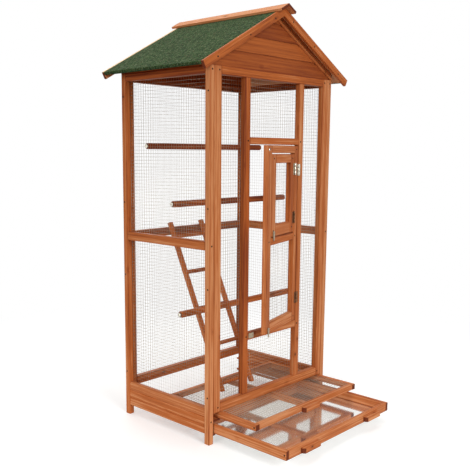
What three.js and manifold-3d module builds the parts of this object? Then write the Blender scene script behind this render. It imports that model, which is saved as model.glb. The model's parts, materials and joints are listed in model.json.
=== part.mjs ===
// Bird aviary: a pine frame with wire nets under a felted gable roof. It has a tall door with a
// small door in its upper half, three perches, a ladder, and a wire rack over a litter tray that
// both pull out at the front. It is shown with the door ajar and both trays pulled out.
// Millimetres, +Z up, the front faces -Y. Pieces are placed from the outer corner of the left
// front leg, and the whole is then centred over the ground.

import * as THREE from 'three';
import { mergeVertices } from 'three/addons/utils/BufferGeometryUtils.js';
import Module from 'manifold-3d';

const wasm = await Module();
wasm.setup();

// Cage frame
const cageWidth = 700;
const cageDepth = 470;
const cageHeight = 1336;
const legWidth = 22;
const legDepth = 24;
const panelThickness = 22;
const frontStileWidth = 35;
const backStileWidth = 20;
const mullionWidth = 28;
const doorwayWidth = 286;
const doorwayHeight = 696;
const sillTop = 380;
const sillHeight = 28;
const headRailHeight = 25;
const topRailHeight = 28;
const bottomRailHeight = 34;
const midRailTop = 740;
const midRailHeight = 32;
const woodEase = 2;

// Clearances
const seat = 0.3;
const overrun = 5;

// Base boards of grooved planks
const baseBoardBottom = 37;
const baseBoardHeight = 97;
const baseBoardRecess = 2;
const plankCount = 3;
const plankGrooveDepth = 3;

// Wire rack and litter tray
const trayDepth = 450;
const traySideClearance = 5;
const trayUnderside = 38;
const traySheetThickness = 1;
const trayBoardHeight = 33;
const trayBoardThickness = 14;
const trayPull = 331;
const trayHandleSpacing = 390;
const trayHandleLift = 4;
const rackOverTray = 18;
const rackLeftClearance = 28;
const rackRightClearance = 5;
const rackBarHeight = 22;
const rackBarWidth = 20;
const rackPull = 178;
const rackToRail = 2;
const handleLength = 98;
const handleDepth = 18;
const handleHeight = 18;
const handleBevel = 7;
const runnerBearing = 9;
const runnerHeight = 8;
const runnerSetback = 2;

// Nets of welded square wire, drawn at about six times their real pitch
const netPitch = 80;
const netWire = 2.5;
const netThickness = 2;
const netLap = 13;

// Roof
const roofPitch = 28.5;
const roofOverhang = 63;
const gableSideHeight = 25;
const roofBoardThickness = 10;
const gableOverhang = 33;
const bargeThickness = 12;
const bargeWidth = 28;
const feltThickness = 2;
const capBoardWidth = 44;
const capBoardThickness = 9;
const capOverhang = 52;
const claddingThickness = 12;
const claddingSetback = 6;
const claddingStep = 3;
const claddingRebate = 6;
const claddingBoardHeight = 58;
const rakeTrimWidth = 24;
const rakeTrimThickness = 7;

// Perches and ladder
const perchSize = 23;
const perchChamfer = 6;
const perchEndBevel = 7;
const highPerch = { back: 355, height: 1068 };
const middlePerch = { back: 217, height: 857 };
const lowPerch = { back: 177, height: 450 };
const ladderCentre = 315;
const ladderPitch = 176;
const ladderFoot = 157;
const ladderRailWidth = 20;
const ladderRailDepth = 14;
const ladderRise = 20;
const rungCount = 5;
const firstRung = 26;
const rungPitch = 156;
const rungHeight = 16;
const rungDepth = 10;

// Main door, with the small door in its upper half
const doorGap = 3;
const doorThickness = 20;
const doorAjar = 15.5;
const doorStileWidth = 32;
const doorTopRailHeight = 28;
const doorMidRailHeight = 28;
const doorMidRailTop = 739;
const doorBottomRailHeight = 38;
const smallStileWidth = 36;
const smallTopRailHeight = 33;
const smallBottomRailHeight = 42;

// Butt hinges, screwed to the front faces
const hingeHeight = 44;
const hingeReach = 13.5;
const hingePlateThickness = 1.5;
const hingeStandOff = 3.5;
const hingeSink = 0.5;
const knuckleRadius = 3.2;
const knuckleBore = 1.9;
const knuckleGap = 0.5;
const hingePinRadius = 1.4;
const hingePinProud = 1.5;
const roundSides = 12;
const mainHingeFromEnd = 92;
const smallHingeFromEnd = 57;

// Turn latches
const latchArm = 26;
const latchHeadRadius = 7;
const latchTipRadius = 4;
const latchThickness = 2;
const latchBossRadius = 5;
const latchBossThickness = 2;
const latchScrewRadius = 3.5;
const latchScrewThickness = 1.6;
const latchFromEdge = 18;
const mainLatchLift = 17;
const smallLatchLift = 14;

// Places worked out from the sizes above
const innerLeft = legWidth;
const innerRight = cageWidth - legWidth;
const cageMiddle = cageWidth / 2;
const rackUnderside = trayUnderside + traySheetThickness + trayBoardHeight + rackOverTray;
const rackTop = rackUnderside + rackBarHeight;
const railBottom = rackTop + rackToRail;
const bottomRailTop = railBottom + bottomRailHeight;
const topRailBottom = cageHeight - topRailHeight;
const midRailBottom = midRailTop - midRailHeight;
const baseBoardTop = baseBoardBottom + baseBoardHeight;
const sillBottom = sillTop - sillHeight;
const headRailBottom = sillTop + doorwayHeight;
const headRailTop = headRailBottom + headRailHeight;
const doorwayLeft = cageMiddle - doorwayWidth / 2;
const doorwayRight = cageMiddle + doorwayWidth / 2;
const leftMullionEdge = doorwayLeft - mullionWidth;
const rightMullionEdge = doorwayRight + mullionWidth;
const leftBayEdge = legWidth + frontStileWidth;
const rightBayEdge = cageWidth - leftBayEdge;
const backFace = cageDepth - panelThickness;

// Finishes
const pine = new THREE.MeshStandardMaterial({ color: 0xc0703c, roughness: 0.6, metalness: 0 });
const pineInside = new THREE.MeshStandardMaterial({ color: 0xa85f38, roughness: 0.65, metalness: 0 });
const felt = new THREE.MeshStandardMaterial({ color: 0x2f6b40, roughness: 0.95, metalness: 0 });
const wire = new THREE.MeshStandardMaterial({ color: 0xa9a9a6, roughness: 0.4, metalness: 0.9 });
const sheetMetal = new THREE.MeshStandardMaterial({ color: 0xc9cbc8, roughness: 0.25, metalness: 0.85 });
const hardware = new THREE.MeshStandardMaterial({ color: 0xcabf9c, roughness: 0.35, metalness: 0.9 });

const aviary = new THREE.Group();

function add(name, geometry, material, x, y, z, parent = aviary) {
  const mesh = new THREE.Mesh(geometry, material);
  mesh.name = name;
  mesh.position.set(x, y, z);
  parent.add(mesh);
}

// Outlines and extrusions
function outline(points) {
  const shape = new THREE.Shape();
  shape.moveTo(...points[0]);
  for (const point of points.slice(1)) shape.lineTo(...point);
  shape.closePath();
  return shape;
}

function easedRectangle(width, height, ease) {
  return outline([
    [ease, 0],
    [width - ease, 0],
    [width, ease],
    [width, height - ease],
    [width - ease, height],
    [ease, height],
    [0, height - ease],
    [0, ease],
  ]);
}

const right = new THREE.Vector3(1, 0, 0);
const back = new THREE.Vector3(0, 1, 0);
const up = new THREE.Vector3(0, 0, 1);
const front = back.clone().negate();

function extruded(shape, length, settings = {}) {
  return new THREE.ExtrudeGeometry(shape, { depth: length, bevelEnabled: false, ...settings });
}

// A piece drawn in X and Y with its length in Z, turned so that its length runs along X or Y
function turnedToX(geometry) {
  return geometry.applyMatrix4(new THREE.Matrix4().makeBasis(back, up, right));
}

function turnedToY(geometry, length) {
  return geometry.applyMatrix4(new THREE.Matrix4().makeBasis(right, up, front)).translate(0, length, 0);
}

const alongX = (shape, length, settings) => turnedToX(extruded(shape, length, settings));
const alongY = (shape, length, settings) => turnedToY(extruded(shape, length, settings), length);
const alongZ = extruded;

// A straight batten with eased long edges, its lowest corner at the origin
function batten(along, sizeX, sizeY, sizeZ) {
  if (along === 'x') return alongX(easedRectangle(sizeY, sizeZ, woodEase), sizeX);
  if (along === 'y') return alongY(easedRectangle(sizeX, sizeZ, woodEase), sizeY);
  return alongZ(easedRectangle(sizeX, sizeY, woodEase), sizeZ);
}

function box(sizeX, sizeY, sizeZ) {
  return new THREE.BoxGeometry(sizeX, sizeY, sizeZ).translate(sizeX / 2, sizeY / 2, sizeZ / 2);
}

// A round bar standing on the origin
function roundBar(radius, length) {
  const bar = new THREE.CylinderGeometry(radius, radius, length, roundSides);
  return bar.rotateX(Math.PI / 2).translate(0, 0, length / 2);
}

// Joins and cuts
function solid(geometry) {
  const loose = geometry.index ? geometry.toNonIndexed() : geometry.clone();
  loose.deleteAttribute('normal');
  loose.deleteAttribute('uv');
  const merged = mergeVertices(loose);
  const vertProperties = new Float32Array(merged.getAttribute('position').array);
  const triVerts = new Uint32Array(merged.index.array);
  return new wasm.Manifold(new wasm.Mesh({ numProp: 3, vertProperties, triVerts }));
}

function geometryOf(manifold) {
  const mesh = manifold.getMesh();
  const geometry = new THREE.BufferGeometry();
  geometry.setAttribute('position', new THREE.BufferAttribute(mesh.vertProperties, 3));
  geometry.setIndex(new THREE.BufferAttribute(mesh.triVerts, 1));
  geometry.computeVertexNormals();
  return geometry;
}

function join(...geometries) {
  return geometryOf(geometries.map(solid).reduce((whole, piece) => whole.add(piece)));
}

// The lower edges of a net's parallel wires. They are spaced evenly, and one wire is centred on
// each place that it has to carry.
function wirePlaces(length, carried) {
  const fixed = [0, ...carried.map((place) => place - netWire / 2), length - netWire];
  const places = [0];
  for (let span = 1; span < fixed.length; span++) {
    const size = fixed[span] - fixed[span - 1];
    const cells = Math.max(1, Math.round(size / netPitch));
    for (let cell = 1; cell <= cells; cell++) places.push(fixed[span - 1] + size * cell / cells);
  }
  return places;
}

// A flat net: a sheet pierced by a hole between each pair of wires across and along it
function net(width, height, carried = { across: [], along: [] }) {
  const columns = wirePlaces(width, carried.across);
  const rows = wirePlaces(height, carried.along);
  let sheet = solid(box(width, height, netThickness));
  for (let column = 1; column < columns.length; column++) {
    for (let row = 1; row < rows.length; row++) {
      const x = columns[column - 1] + netWire;
      const y = rows[row - 1] + netWire;
      const hole = box(columns[column] - x, rows[row] - y, netThickness + 2 * overrun);
      sheet = sheet.subtract(solid(hole.translate(x, y, -overrun)));
    }
  }
  return geometryOf(sheet);
}

const frontNet = (width, height) => turnedToY(net(width, height), netThickness);
const sideNet = (depth, height, carried) => turnedToX(net(depth, height, carried));

// Legs: the back pair carry the narrow stile of the back panel above the trays
function backLeg(stileLeft) {
  const leg = batten('z', legWidth, legDepth, cageHeight).translate(stileLeft ? backStileWidth : 0, 0, 0);
  const stile = batten('z', backStileWidth + legWidth / 2, panelThickness, cageHeight - railBottom);
  stile.translate(stileLeft ? 0 : legWidth / 2, legDepth - panelThickness, railBottom);
  return join(leg, stile);
}

function legs() {
  const rear = cageDepth - legDepth;
  add('front_left_leg', batten('z', legWidth, legDepth, cageHeight), pine, 0, 0, 0);
  add('front_right_leg', batten('z', legWidth, legDepth, cageHeight), pine, innerRight, 0, 0);
  add('back_left_leg', backLeg(false), pine, 0, rear, 0);
  add('back_right_leg', backLeg(true), pine, innerRight - backStileWidth, rear, 0);
}

// Side panels. A base board is a row of planks with a groove cut in the outer face at each joint.
function baseBoard(onLeft) {
  const thickness = legWidth - baseBoardRecess;
  const plank = baseBoardHeight / plankCount;
  const points = [[thickness, 0], [thickness, baseBoardHeight], [0, baseBoardHeight]];
  for (let joint = plankCount - 1; joint > 0; joint--) {
    points.push([0, joint * plank + plankGrooveDepth]);
    points.push([plankGrooveDepth, joint * plank]);
    points.push([0, joint * plank - plankGrooveDepth]);
  }
  points.push([0, 0]);
  const facing = onLeft ? points : points.map(([x, z]) => [thickness - x, z]).reverse();
  return alongY(outline(facing), cageDepth - 2 * legDepth);
}

function sidePanel(side, onLeft) {
  const span = cageDepth - 2 * legDepth;
  const outer = onLeft ? 0 : innerRight;
  const boardX = onLeft ? baseBoardRecess : innerRight;
  const netX = onLeft ? innerLeft : innerRight - netThickness;
  const netY = panelThickness + netThickness;
  const netBottom = baseBoardTop - netLap;
  const netHeight = topRailBottom + netLap - netBottom;
  add(`${side}_top_rail`, batten('y', legWidth, span, topRailHeight), pine, outer, legDepth, topRailBottom);
  add(`${side}_mid_rail`, batten('y', legWidth, span, midRailHeight), pine, outer, legDepth, midRailBottom);
  add(`${side}_base_board`, baseBoard(onLeft), pine, boardX, legDepth, baseBoardBottom);
  const carried = {
    across: [highPerch.back - netY],
    along: [lowPerch.height - netBottom, middlePerch.height - netBottom],
  };
  const sheet = sideNet(cageDepth - 2 * netY, netHeight, carried);
  add(`${side}_net`, sheet, wire, netX, netY, netBottom);
}

// Runners: plain ledges inside the legs and base boards, one under each edge of the rack and tray
function runnerPair(carried, underside, leftClearance, rightClearance) {
  const length = cageDepth - 2 * runnerSetback;
  const z = underside - seat - runnerHeight;
  const leftWidth = leftClearance + runnerBearing;
  const rightWidth = rightClearance + runnerBearing;
  const ledge = (width) => batten('y', width, length, runnerHeight);
  add(`${carried}_runner_left`, ledge(leftWidth), pineInside, innerLeft, runnerSetback, z);
  add(`${carried}_runner_right`, ledge(rightWidth), pineInside, innerRight - rightWidth, runnerSetback, z);
}

function runners() {
  runnerPair('rack', rackUnderside, rackLeftClearance, rackRightClearance);
  runnerPair('tray', trayUnderside, traySideClearance, traySideClearance);
}

// Front panel: stiles beside the legs, two mullions, and the rails round the doorway
function frontPanel() {
  const stileHeight = cageHeight - railBottom;
  const stile = () => batten('z', frontStileWidth, panelThickness, stileHeight);
  const railWidth = rightBayEdge - leftBayEdge;
  const mullionHeight = topRailBottom - bottomRailTop;
  const mullion = () => batten('z', mullionWidth, panelThickness, mullionHeight);
  const crossRail = (width, height) => batten('x', width, panelThickness, height);
  add('front_left_stile', stile(), pine, legWidth, 0, railBottom);
  add('front_right_stile', stile(), pine, rightBayEdge, 0, railBottom);
  add('front_top_rail', crossRail(railWidth, topRailHeight), pine, leftBayEdge, 0, topRailBottom);
  add('front_bottom_rail', crossRail(railWidth, bottomRailHeight), pine, leftBayEdge, 0, railBottom);
  add('left_mullion', mullion(), pine, leftMullionEdge, 0, bottomRailTop);
  add('right_mullion', mullion(), pine, doorwayRight, 0, bottomRailTop);
  add('head_rail', crossRail(doorwayWidth, headRailHeight), pine, doorwayLeft, 0, headRailBottom);
  add('sill_rail', crossRail(doorwayWidth, sillHeight), pine, doorwayLeft, 0, sillBottom);
}

// Front nets, lapped on the back of the wood around each bay
function frontNets() {
  const bayLeft = leftBayEdge - netLap;
  const bayWidth = leftMullionEdge + netLap - bayLeft;
  const bayBottom = bottomRailTop - netLap;
  const bayHeight = topRailBottom + netLap - bayBottom;
  const doorLeft = doorwayLeft - netLap;
  const doorWidth = doorwayWidth + 2 * netLap;
  const upperBottom = headRailTop - netLap;
  const lowerHeight = sillBottom + netLap - bayBottom;
  const rightLeft = rightMullionEdge - netLap;
  add('front_net_left', frontNet(bayWidth, bayHeight), wire, bayLeft, panelThickness, bayBottom);
  add('front_net_right', frontNet(bayWidth, bayHeight), wire, rightLeft, panelThickness, bayBottom);
  const upperNet = frontNet(doorWidth, topRailBottom + netLap - upperBottom);
  add('front_net_over_door', upperNet, wire, doorLeft, panelThickness, upperBottom);
  add('front_net_under_door', frontNet(doorWidth, lowerHeight), wire, doorLeft, panelThickness, bayBottom);
}

function backPanel() {
  const railLeft = legWidth + backStileWidth;
  const railWidth = cageWidth - 2 * railLeft;
  const netLeft = innerLeft + netThickness;
  const netBottom = bottomRailTop - netLap;
  const netHeight = topRailBottom + netLap - netBottom;
  const rail = (height) => batten('x', railWidth, panelThickness, height);
  add('back_top_rail', rail(topRailHeight), pine, railLeft, backFace, topRailBottom);
  add('back_mid_rail', rail(midRailHeight), pine, railLeft, backFace, midRailBottom);
  add('back_bottom_rail', rail(bottomRailHeight), pine, railLeft, backFace, railBottom);
  const backNet = frontNet(cageWidth - 2 * netLeft, netHeight);
  add('back_net', backNet, wire, netLeft, backFace - netThickness, netBottom);
}

// Roof lines, in X and Z. A line lies at a depth below the upper face of the roof boards.
const pitch = THREE.MathUtils.degToRad(roofPitch);
const slopeDrop = Math.tan(pitch);
const slopeAlong = [Math.cos(pitch), Math.sin(pitch)];
const slopeNormal = [-Math.sin(pitch), Math.cos(pitch)];
const roofEdge = (cageMiddle + roofOverhang) / Math.cos(pitch);
const gableDepth = roofBoardThickness + seat;
const gableTop = cageHeight + gableSideHeight + cageMiddle * slopeDrop;
const ridgeHeight = gableTop + gableDepth / Math.cos(pitch);

function roofHeight(x, depth) {
  return ridgeHeight - Math.abs(x - cageMiddle) * slopeDrop - depth / Math.cos(pitch);
}

// A point on the left slope, measured down the slope from the ridge and square to it, inwards
function onLeftSlope(down, depth) {
  return [
    cageMiddle - down * slopeAlong[0] - depth * slopeNormal[0],
    ridgeHeight - down * slopeAlong[1] - depth * slopeNormal[1],
  ];
}

function mirrored(points) {
  return points.map(([x, z]) => [cageWidth - x, z]).reverse();
}

// A folded strip over the ridge, between two depths, each side cut square at its lower edge
function ridgeStrip(down, outerDepth, innerDepth) {
  const left = [onLeftSlope(down, outerDepth), onLeftSlope(down, innerDepth)];
  const innerRidge = [cageMiddle, roofHeight(cageMiddle, innerDepth)];
  const outerRidge = [cageMiddle, roofHeight(cageMiddle, outerDepth)];
  return outline([...left, innerRidge, ...mirrored(left), outerRidge]);
}

function roofBoards() {
  const length = cageDepth + 2 * (gableOverhang - bargeThickness);
  const ridge = [cageMiddle, ridgeHeight];
  const underRidge = [cageMiddle, roofHeight(cageMiddle, roofBoardThickness)];
  const left = [ridge, onLeftSlope(roofEdge, 0), onLeftSlope(roofEdge, roofBoardThickness), underRidge];
  const y = bargeThickness - gableOverhang;
  add('roof_board_left', alongY(outline(left), length), pine, 0, y, 0);
  add('roof_board_right', alongY(outline(mirrored(left)), length), pine, 0, y, 0);
}

// Felt: one sheet over the ridge, turned down over the lower edge of both boards
function roofFelt() {
  const length = cageDepth + 2 * (gableOverhang - bargeThickness);
  const top = -seat - feltThickness;
  const outerEdge = roofEdge + seat + feltThickness;
  const left = [
    onLeftSlope(outerEdge, top),
    onLeftSlope(outerEdge, roofBoardThickness),
    onLeftSlope(roofEdge + seat, roofBoardThickness),
    onLeftSlope(roofEdge + seat, -seat),
  ];
  const underRidge = [cageMiddle, roofHeight(cageMiddle, -seat)];
  const overRidge = [cageMiddle, roofHeight(cageMiddle, top)];
  const sheet = outline([...left, underRidge, ...mirrored(left), overRidge]);
  add('roof_felt', alongY(sheet, length), felt, 0, bargeThickness - gableOverhang, 0);
}

function bargeBoardsAndCap() {
  const feltTop = -seat - feltThickness;
  const barge = ridgeStrip(roofEdge + seat + feltThickness, feltTop, feltTop + bargeWidth);
  const backY = cageDepth + gableOverhang - bargeThickness;
  add('front_bargeboards', alongY(barge, bargeThickness), pine, 0, -gableOverhang, 0);
  add('back_bargeboards', alongY(barge, bargeThickness), pine, 0, backY, 0);
  const cap = ridgeStrip(capBoardWidth, feltTop - seat - capBoardThickness, feltTop - seat);
  add('ridge_cap', alongY(cap, cageDepth + 2 * capOverhang), pine, 0, -capOverhang, 0);
}

// Gable: shiplap boards cut to the roof slope, with trims nailed along the slope in front
function gable(facingFront) {
  const eaves = roofHeight(0, gableDepth);
  const boardCount = Math.ceil((gableTop - cageHeight) / claddingBoardHeight);
  const cladding = [];
  for (let board = 0; board < boardCount; board++) {
    const low = cageHeight + board * claddingBoardHeight;
    const high = low + claddingBoardHeight;
    cladding.push([claddingSetback, low]);
    cladding.push([claddingSetback, high - claddingRebate]);
    cladding.push([claddingSetback + claddingStep, high - claddingRebate]);
    cladding.push([claddingSetback + claddingStep, high]);
  }
  cladding.push([claddingSetback + claddingThickness, cageHeight + boardCount * claddingBoardHeight]);
  cladding.push([claddingSetback + claddingThickness, cageHeight]);
  const boards = solid(alongX(outline(cladding.reverse()), cageWidth));
  const slopeShape = outline([
    [0, cageHeight],
    [cageWidth, cageHeight],
    [cageWidth, eaves],
    [cageMiddle, gableTop],
    [0, eaves],
  ]);
  const cut = boards.intersect(solid(alongY(slopeShape, panelThickness)));
  const trimFoot = rakeTrimWidth / Math.sin(pitch) - (eaves - cageHeight) / Math.tan(pitch);
  const trimDrop = rakeTrimWidth / Math.cos(pitch);
  const trims = outline([
    [0, cageHeight],
    [trimFoot, cageHeight],
    [cageMiddle, gableTop - trimDrop],
    [cageWidth - trimFoot, cageHeight],
    [cageWidth, cageHeight],
    [cageWidth, eaves],
    [cageMiddle, gableTop],
    [0, eaves],
  ]);
  const whole = cut.add(solid(alongY(trims, rakeTrimThickness)));
  return geometryOf(facingFront ? whole : whole.mirror([0, 1, 0]));
}

function gables() {
  add('front_gable', gable(true), pine, 0, 0, 0);
  add('back_gable', gable(false), pine, 0, cageDepth, 0);
}

// Perches: chamfered square bars with bevelled ends, held between the side nets
function perch(name, { back: y, height }) {
  const half = perchSize / 2;
  const section = easedRectangle(perchSize, perchSize, perchChamfer);
  const length = innerRight - innerLeft - 2 * (netThickness + seat + perchEndBevel);
  const bevel = {
    bevelEnabled: true,
    bevelThickness: perchEndBevel,
    bevelSize: perchChamfer / 2,
    bevelOffset: -perchChamfer / 2,
    bevelSegments: 1,
  };
  const x = innerLeft + netThickness + seat + perchEndBevel;
  add(name, alongX(section, length, bevel), pineInside, x, y - half, height - half);
}

// Ladder: it stands on the rack's net and leans on the upper edge of the back middle rail
function ladder() {
  const standing = rackTop + seat;
  const leanBack = backFace - seat - ladderFoot;
  const leanUp = midRailTop - woodEase - standing;
  const lean = Math.atan2(leanBack, leanUp);
  const railLength = Math.hypot(leanBack, leanUp) + ladderRise;
  const level = ladderRailDepth * Math.tan(lean);
  const side = outline([
    [0, 0],
    [0, railLength],
    [-ladderRailDepth, railLength],
    [-ladderRailDepth, -level],
  ]);
  const outerWidth = ladderPitch + ladderRailWidth;
  const rail = (x) => alongX(side, ladderRailWidth).translate(x, 0, 0);
  const pieces = [rail(0), rail(ladderPitch)];
  for (let rung = 0; rung < rungCount; rung++) {
    const bar = alongX(easedRectangle(rungDepth, rungHeight, woodEase), ladderPitch);
    const inset = (ladderRailDepth - rungDepth) / 2;
    bar.translate(ladderRailWidth / 2, -ladderRailDepth + inset, firstRung + rung * rungPitch - rungHeight / 2);
    pieces.push(bar);
  }
  const leaning = new THREE.Group();
  leaning.position.set(ladderCentre - outerWidth / 2, ladderFoot, standing);
  leaning.rotation.x = -lean;
  aviary.add(leaning);
  add('ladder', join(...pieces), pineInside, 0, 0, 0, leaning);
}

// Pull handle: a block with bevelled ends, its back on the board in front of which it stands
function handle() {
  const half = handleLength / 2;
  const plan = outline([
    [-half, woodEase],
    [-half, -handleDepth / 2],
    [-half + handleBevel, -handleDepth],
    [half - handleBevel, -handleDepth],
    [half, -handleDepth / 2],
    [half, woodEase],
  ]);
  return alongZ(plan, handleHeight);
}

// A ring of four boards: long ones front to back, short ones between them
function boardRing(width, boardWidth, boardHeight) {
  const across = width - boardWidth;
  const long = () => batten('y', boardWidth, trayDepth, boardHeight);
  const short = () => batten('x', across, boardWidth, boardHeight).translate(boardWidth / 2, 0, 0);
  return [
    long(),
    long().translate(width - boardWidth, 0, 0),
    short(),
    short().translate(0, trayDepth - boardWidth, 0),
  ];
}

function wireRack() {
  const rackLeft = innerLeft + rackLeftClearance;
  const rackWidth = innerRight - rackRightClearance - rackLeft;
  const middle = rackWidth / 2;
  const crossHeight = rackBarHeight - netThickness;
  const cross = batten('y', rackBarWidth, trayDepth - rackBarWidth, crossHeight);
  cross.translate(middle - rackBarWidth / 2, rackBarWidth / 2, 0);
  const pull = handle().translate(middle, 0, 0);
  const frame = join(...boardRing(rackWidth, rackBarWidth, rackBarHeight), cross, pull);
  const netWidth = rackWidth - 2 * rackBarWidth;
  const netDepth = trayDepth - 2 * rackBarWidth;
  const netY = rackBarWidth - rackPull;
  const carried = { across: [], along: [ladderFoot - ladderRailDepth / 2 - netY] };
  const sheet = net(netWidth, netDepth, carried);
  add('rack_frame', frame, pine, rackLeft, -rackPull, rackUnderside);
  add('rack_net', sheet, wire, rackLeft + rackBarWidth, netY, rackTop - netThickness);
}

function litterTray() {
  const trayLeft = innerLeft + traySideClearance;
  const trayWidth = innerRight - traySideClearance - trayLeft;
  const middle = trayWidth / 2;
  const pulls = [-1, 1].map((sign) => {
    return handle().translate(middle + sign * trayHandleSpacing / 2, 0, trayHandleLift);
  });
  const frame = join(...boardRing(trayWidth, trayBoardThickness, trayBoardHeight), ...pulls);
  const sheet = box(trayWidth, trayDepth, traySheetThickness);
  add('tray_frame', frame, pine, trayLeft, -trayPull, trayUnderside + traySheetThickness);
  add('tray_sheet', sheet, sheetMetal, trayLeft, -trayPull, trayUnderside);
}

// Butt hinge leaf about a pin that stands on the origin. The wood's face is at hingeStandOff
// behind the pin. A leaf on side 1 reaches to the right, and one on side -1 to the left.
function hingePlate(side, low, high, from, to) {
  const plate = box(to - from, hingePlateThickness + hingeSink, high - low);
  const x = side > 0 ? from : -to;
  return plate.translate(x, hingeStandOff - hingePlateThickness, low);
}

const knuckle = hingeHeight / 3;
const plateStart = knuckleRadius + knuckleGap;

// The leaf with both end knuckles and the pin
function pinLeaf(side, sink) {
  const ends = [[0, knuckle - knuckleGap], [hingeHeight - knuckle + knuckleGap, hingeHeight]];
  const pinLength = hingeHeight + 2 * hingePinProud;
  const pieces = [
    roundBar(hingePinRadius, pinLength).translate(0, 0, -hingePinProud),
    hingePlate(side, 0, hingeHeight, plateStart, hingeReach),
  ];
  for (const [low, high] of ends) {
    pieces.push(roundBar(knuckleRadius, high - low).translate(0, 0, low));
    pieces.push(hingePlate(side, low, high, 0, plateStart + knuckleGap));
  }
  return trimmed(pieces, sink);
}

// The leaf with the middle knuckle, bored for the pin
function boredLeaf(side, sink) {
  const tube = roundBar(knuckleRadius, knuckle).translate(0, 0, knuckle);
  const bore = roundBar(knuckleBore, knuckle + 2 * overrun).translate(0, 0, knuckle - overrun);
  const tab = hingePlate(side, knuckle, 2 * knuckle, 0, plateStart + knuckleGap);
  const plate = hingePlate(side, 0, hingeHeight, plateStart, hingeReach);
  const leaf = trimmed([tube, tab, plate], sink);
  return geometryOf(solid(leaf).subtract(solid(bore)));
}

// A leaf that is fused to its stile keeps the sunk back of its plate. A loose one loses it.
function trimmed(pieces, sink) {
  const leaf = pieces.map(solid).reduce((whole, piece) => whole.add(piece));
  if (sink) return geometryOf(leaf);
  const reach = 2 * (hingeReach + overrun);
  const behind = box(reach, overrun, hingeHeight + 2 * overrun);
  behind.translate(-reach / 2, hingeStandOff, -overrun);
  return geometryOf(leaf.subtract(solid(behind)));
}

// Main door. Its group stands on the hinge pin, turned to where the door is left ajar.
const pinX = doorwayRight - doorGap / 2;
const doorBottom = sillTop + doorGap;
const doorTop = headRailBottom - doorGap;
const doorWidth = doorwayWidth - 2 * doorGap;
const doorRight = -doorGap / 2;
const doorLeft = doorRight - doorWidth;
const hingeStileLeft = doorRight - doorStileWidth;
const freeStileRight = doorLeft + doorStileWidth;
const mainHingeHeights = [doorBottom + mainHingeFromEnd, doorTop - mainHingeFromEnd];

const smallPinX = hingeStileLeft - doorGap / 2;
const smallBottom = doorMidRailTop + doorGap;
const smallTop = doorTop - doorTopRailHeight - doorGap;
const smallWidth = hingeStileLeft - freeStileRight - 2 * doorGap;
const smallRight = -doorGap / 2;
const smallLeft = smallRight - smallWidth;
const smallHingeHeights = [smallBottom + smallHingeFromEnd, smallTop - smallHingeFromEnd];

function frameHinges() {
  const names = ['main_hinge_lower', 'main_hinge_upper'];
  mainHingeHeights.forEach((height, index) => {
    add(names[index], pinLeaf(1, false), hardware, pinX, -hingeStandOff, height - hingeHeight / 2);
  });
}

function hingeStile() {
  const pieces = [batten('z', doorStileWidth, doorThickness, doorTop - doorBottom)];
  pieces[0].translate(hingeStileLeft, hingeStandOff, 0);
  for (const height of mainHingeHeights) {
    pieces.push(boredLeaf(-1, true).translate(0, 0, height - hingeHeight / 2 - doorBottom));
  }
  for (const height of smallHingeHeights) {
    pieces.push(pinLeaf(1, true).translate(smallPinX, 0, height - hingeHeight / 2 - doorBottom));
  }
  return join(...pieces);
}

function mainDoor() {
  const door = new THREE.Group();
  door.position.set(pinX, -hingeStandOff, 0);
  door.rotation.z = THREE.MathUtils.degToRad(doorAjar);
  aviary.add(door);
  const railLeft = freeStileRight + seat;
  const railWidth = hingeStileLeft - freeStileRight - 2 * seat;
  const rail = (height) => batten('x', railWidth, doorThickness, height);
  const freeStile = batten('z', doorStileWidth, doorThickness, doorTop - doorBottom);
  const topRailZ = doorTop - doorTopRailHeight;
  const midRailZ = doorMidRailTop - doorMidRailHeight;
  add('door_hinge_stile', hingeStile(), pine, 0, 0, doorBottom, door);
  add('door_free_stile', freeStile, pine, doorLeft, hingeStandOff, doorBottom, door);
  add('door_top_rail', rail(doorTopRailHeight), pine, railLeft, hingeStandOff, topRailZ, door);
  add('door_mid_rail', rail(doorMidRailHeight), pine, railLeft, hingeStandOff, midRailZ, door);
  add('door_bottom_rail', rail(doorBottomRailHeight), pine, railLeft, hingeStandOff, doorBottom, door);
  const netBottom = doorBottom + doorBottomRailHeight - netLap;
  const netHeight = midRailZ + netLap - netBottom;
  const lowerNet = frontNet(railWidth + 2 * netLap, netHeight);
  const netY = hingeStandOff + doorThickness + seat;
  add('door_net', lowerNet, wire, railLeft - netLap, netY, netBottom, door);
  const latchX = doorLeft + latchFromEdge;
  add('main_latch', turnLatch(), hardware, latchX, hingeStandOff - seat, doorBottom + mainLatchLift, door);
  smallDoor(door);
}

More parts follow.
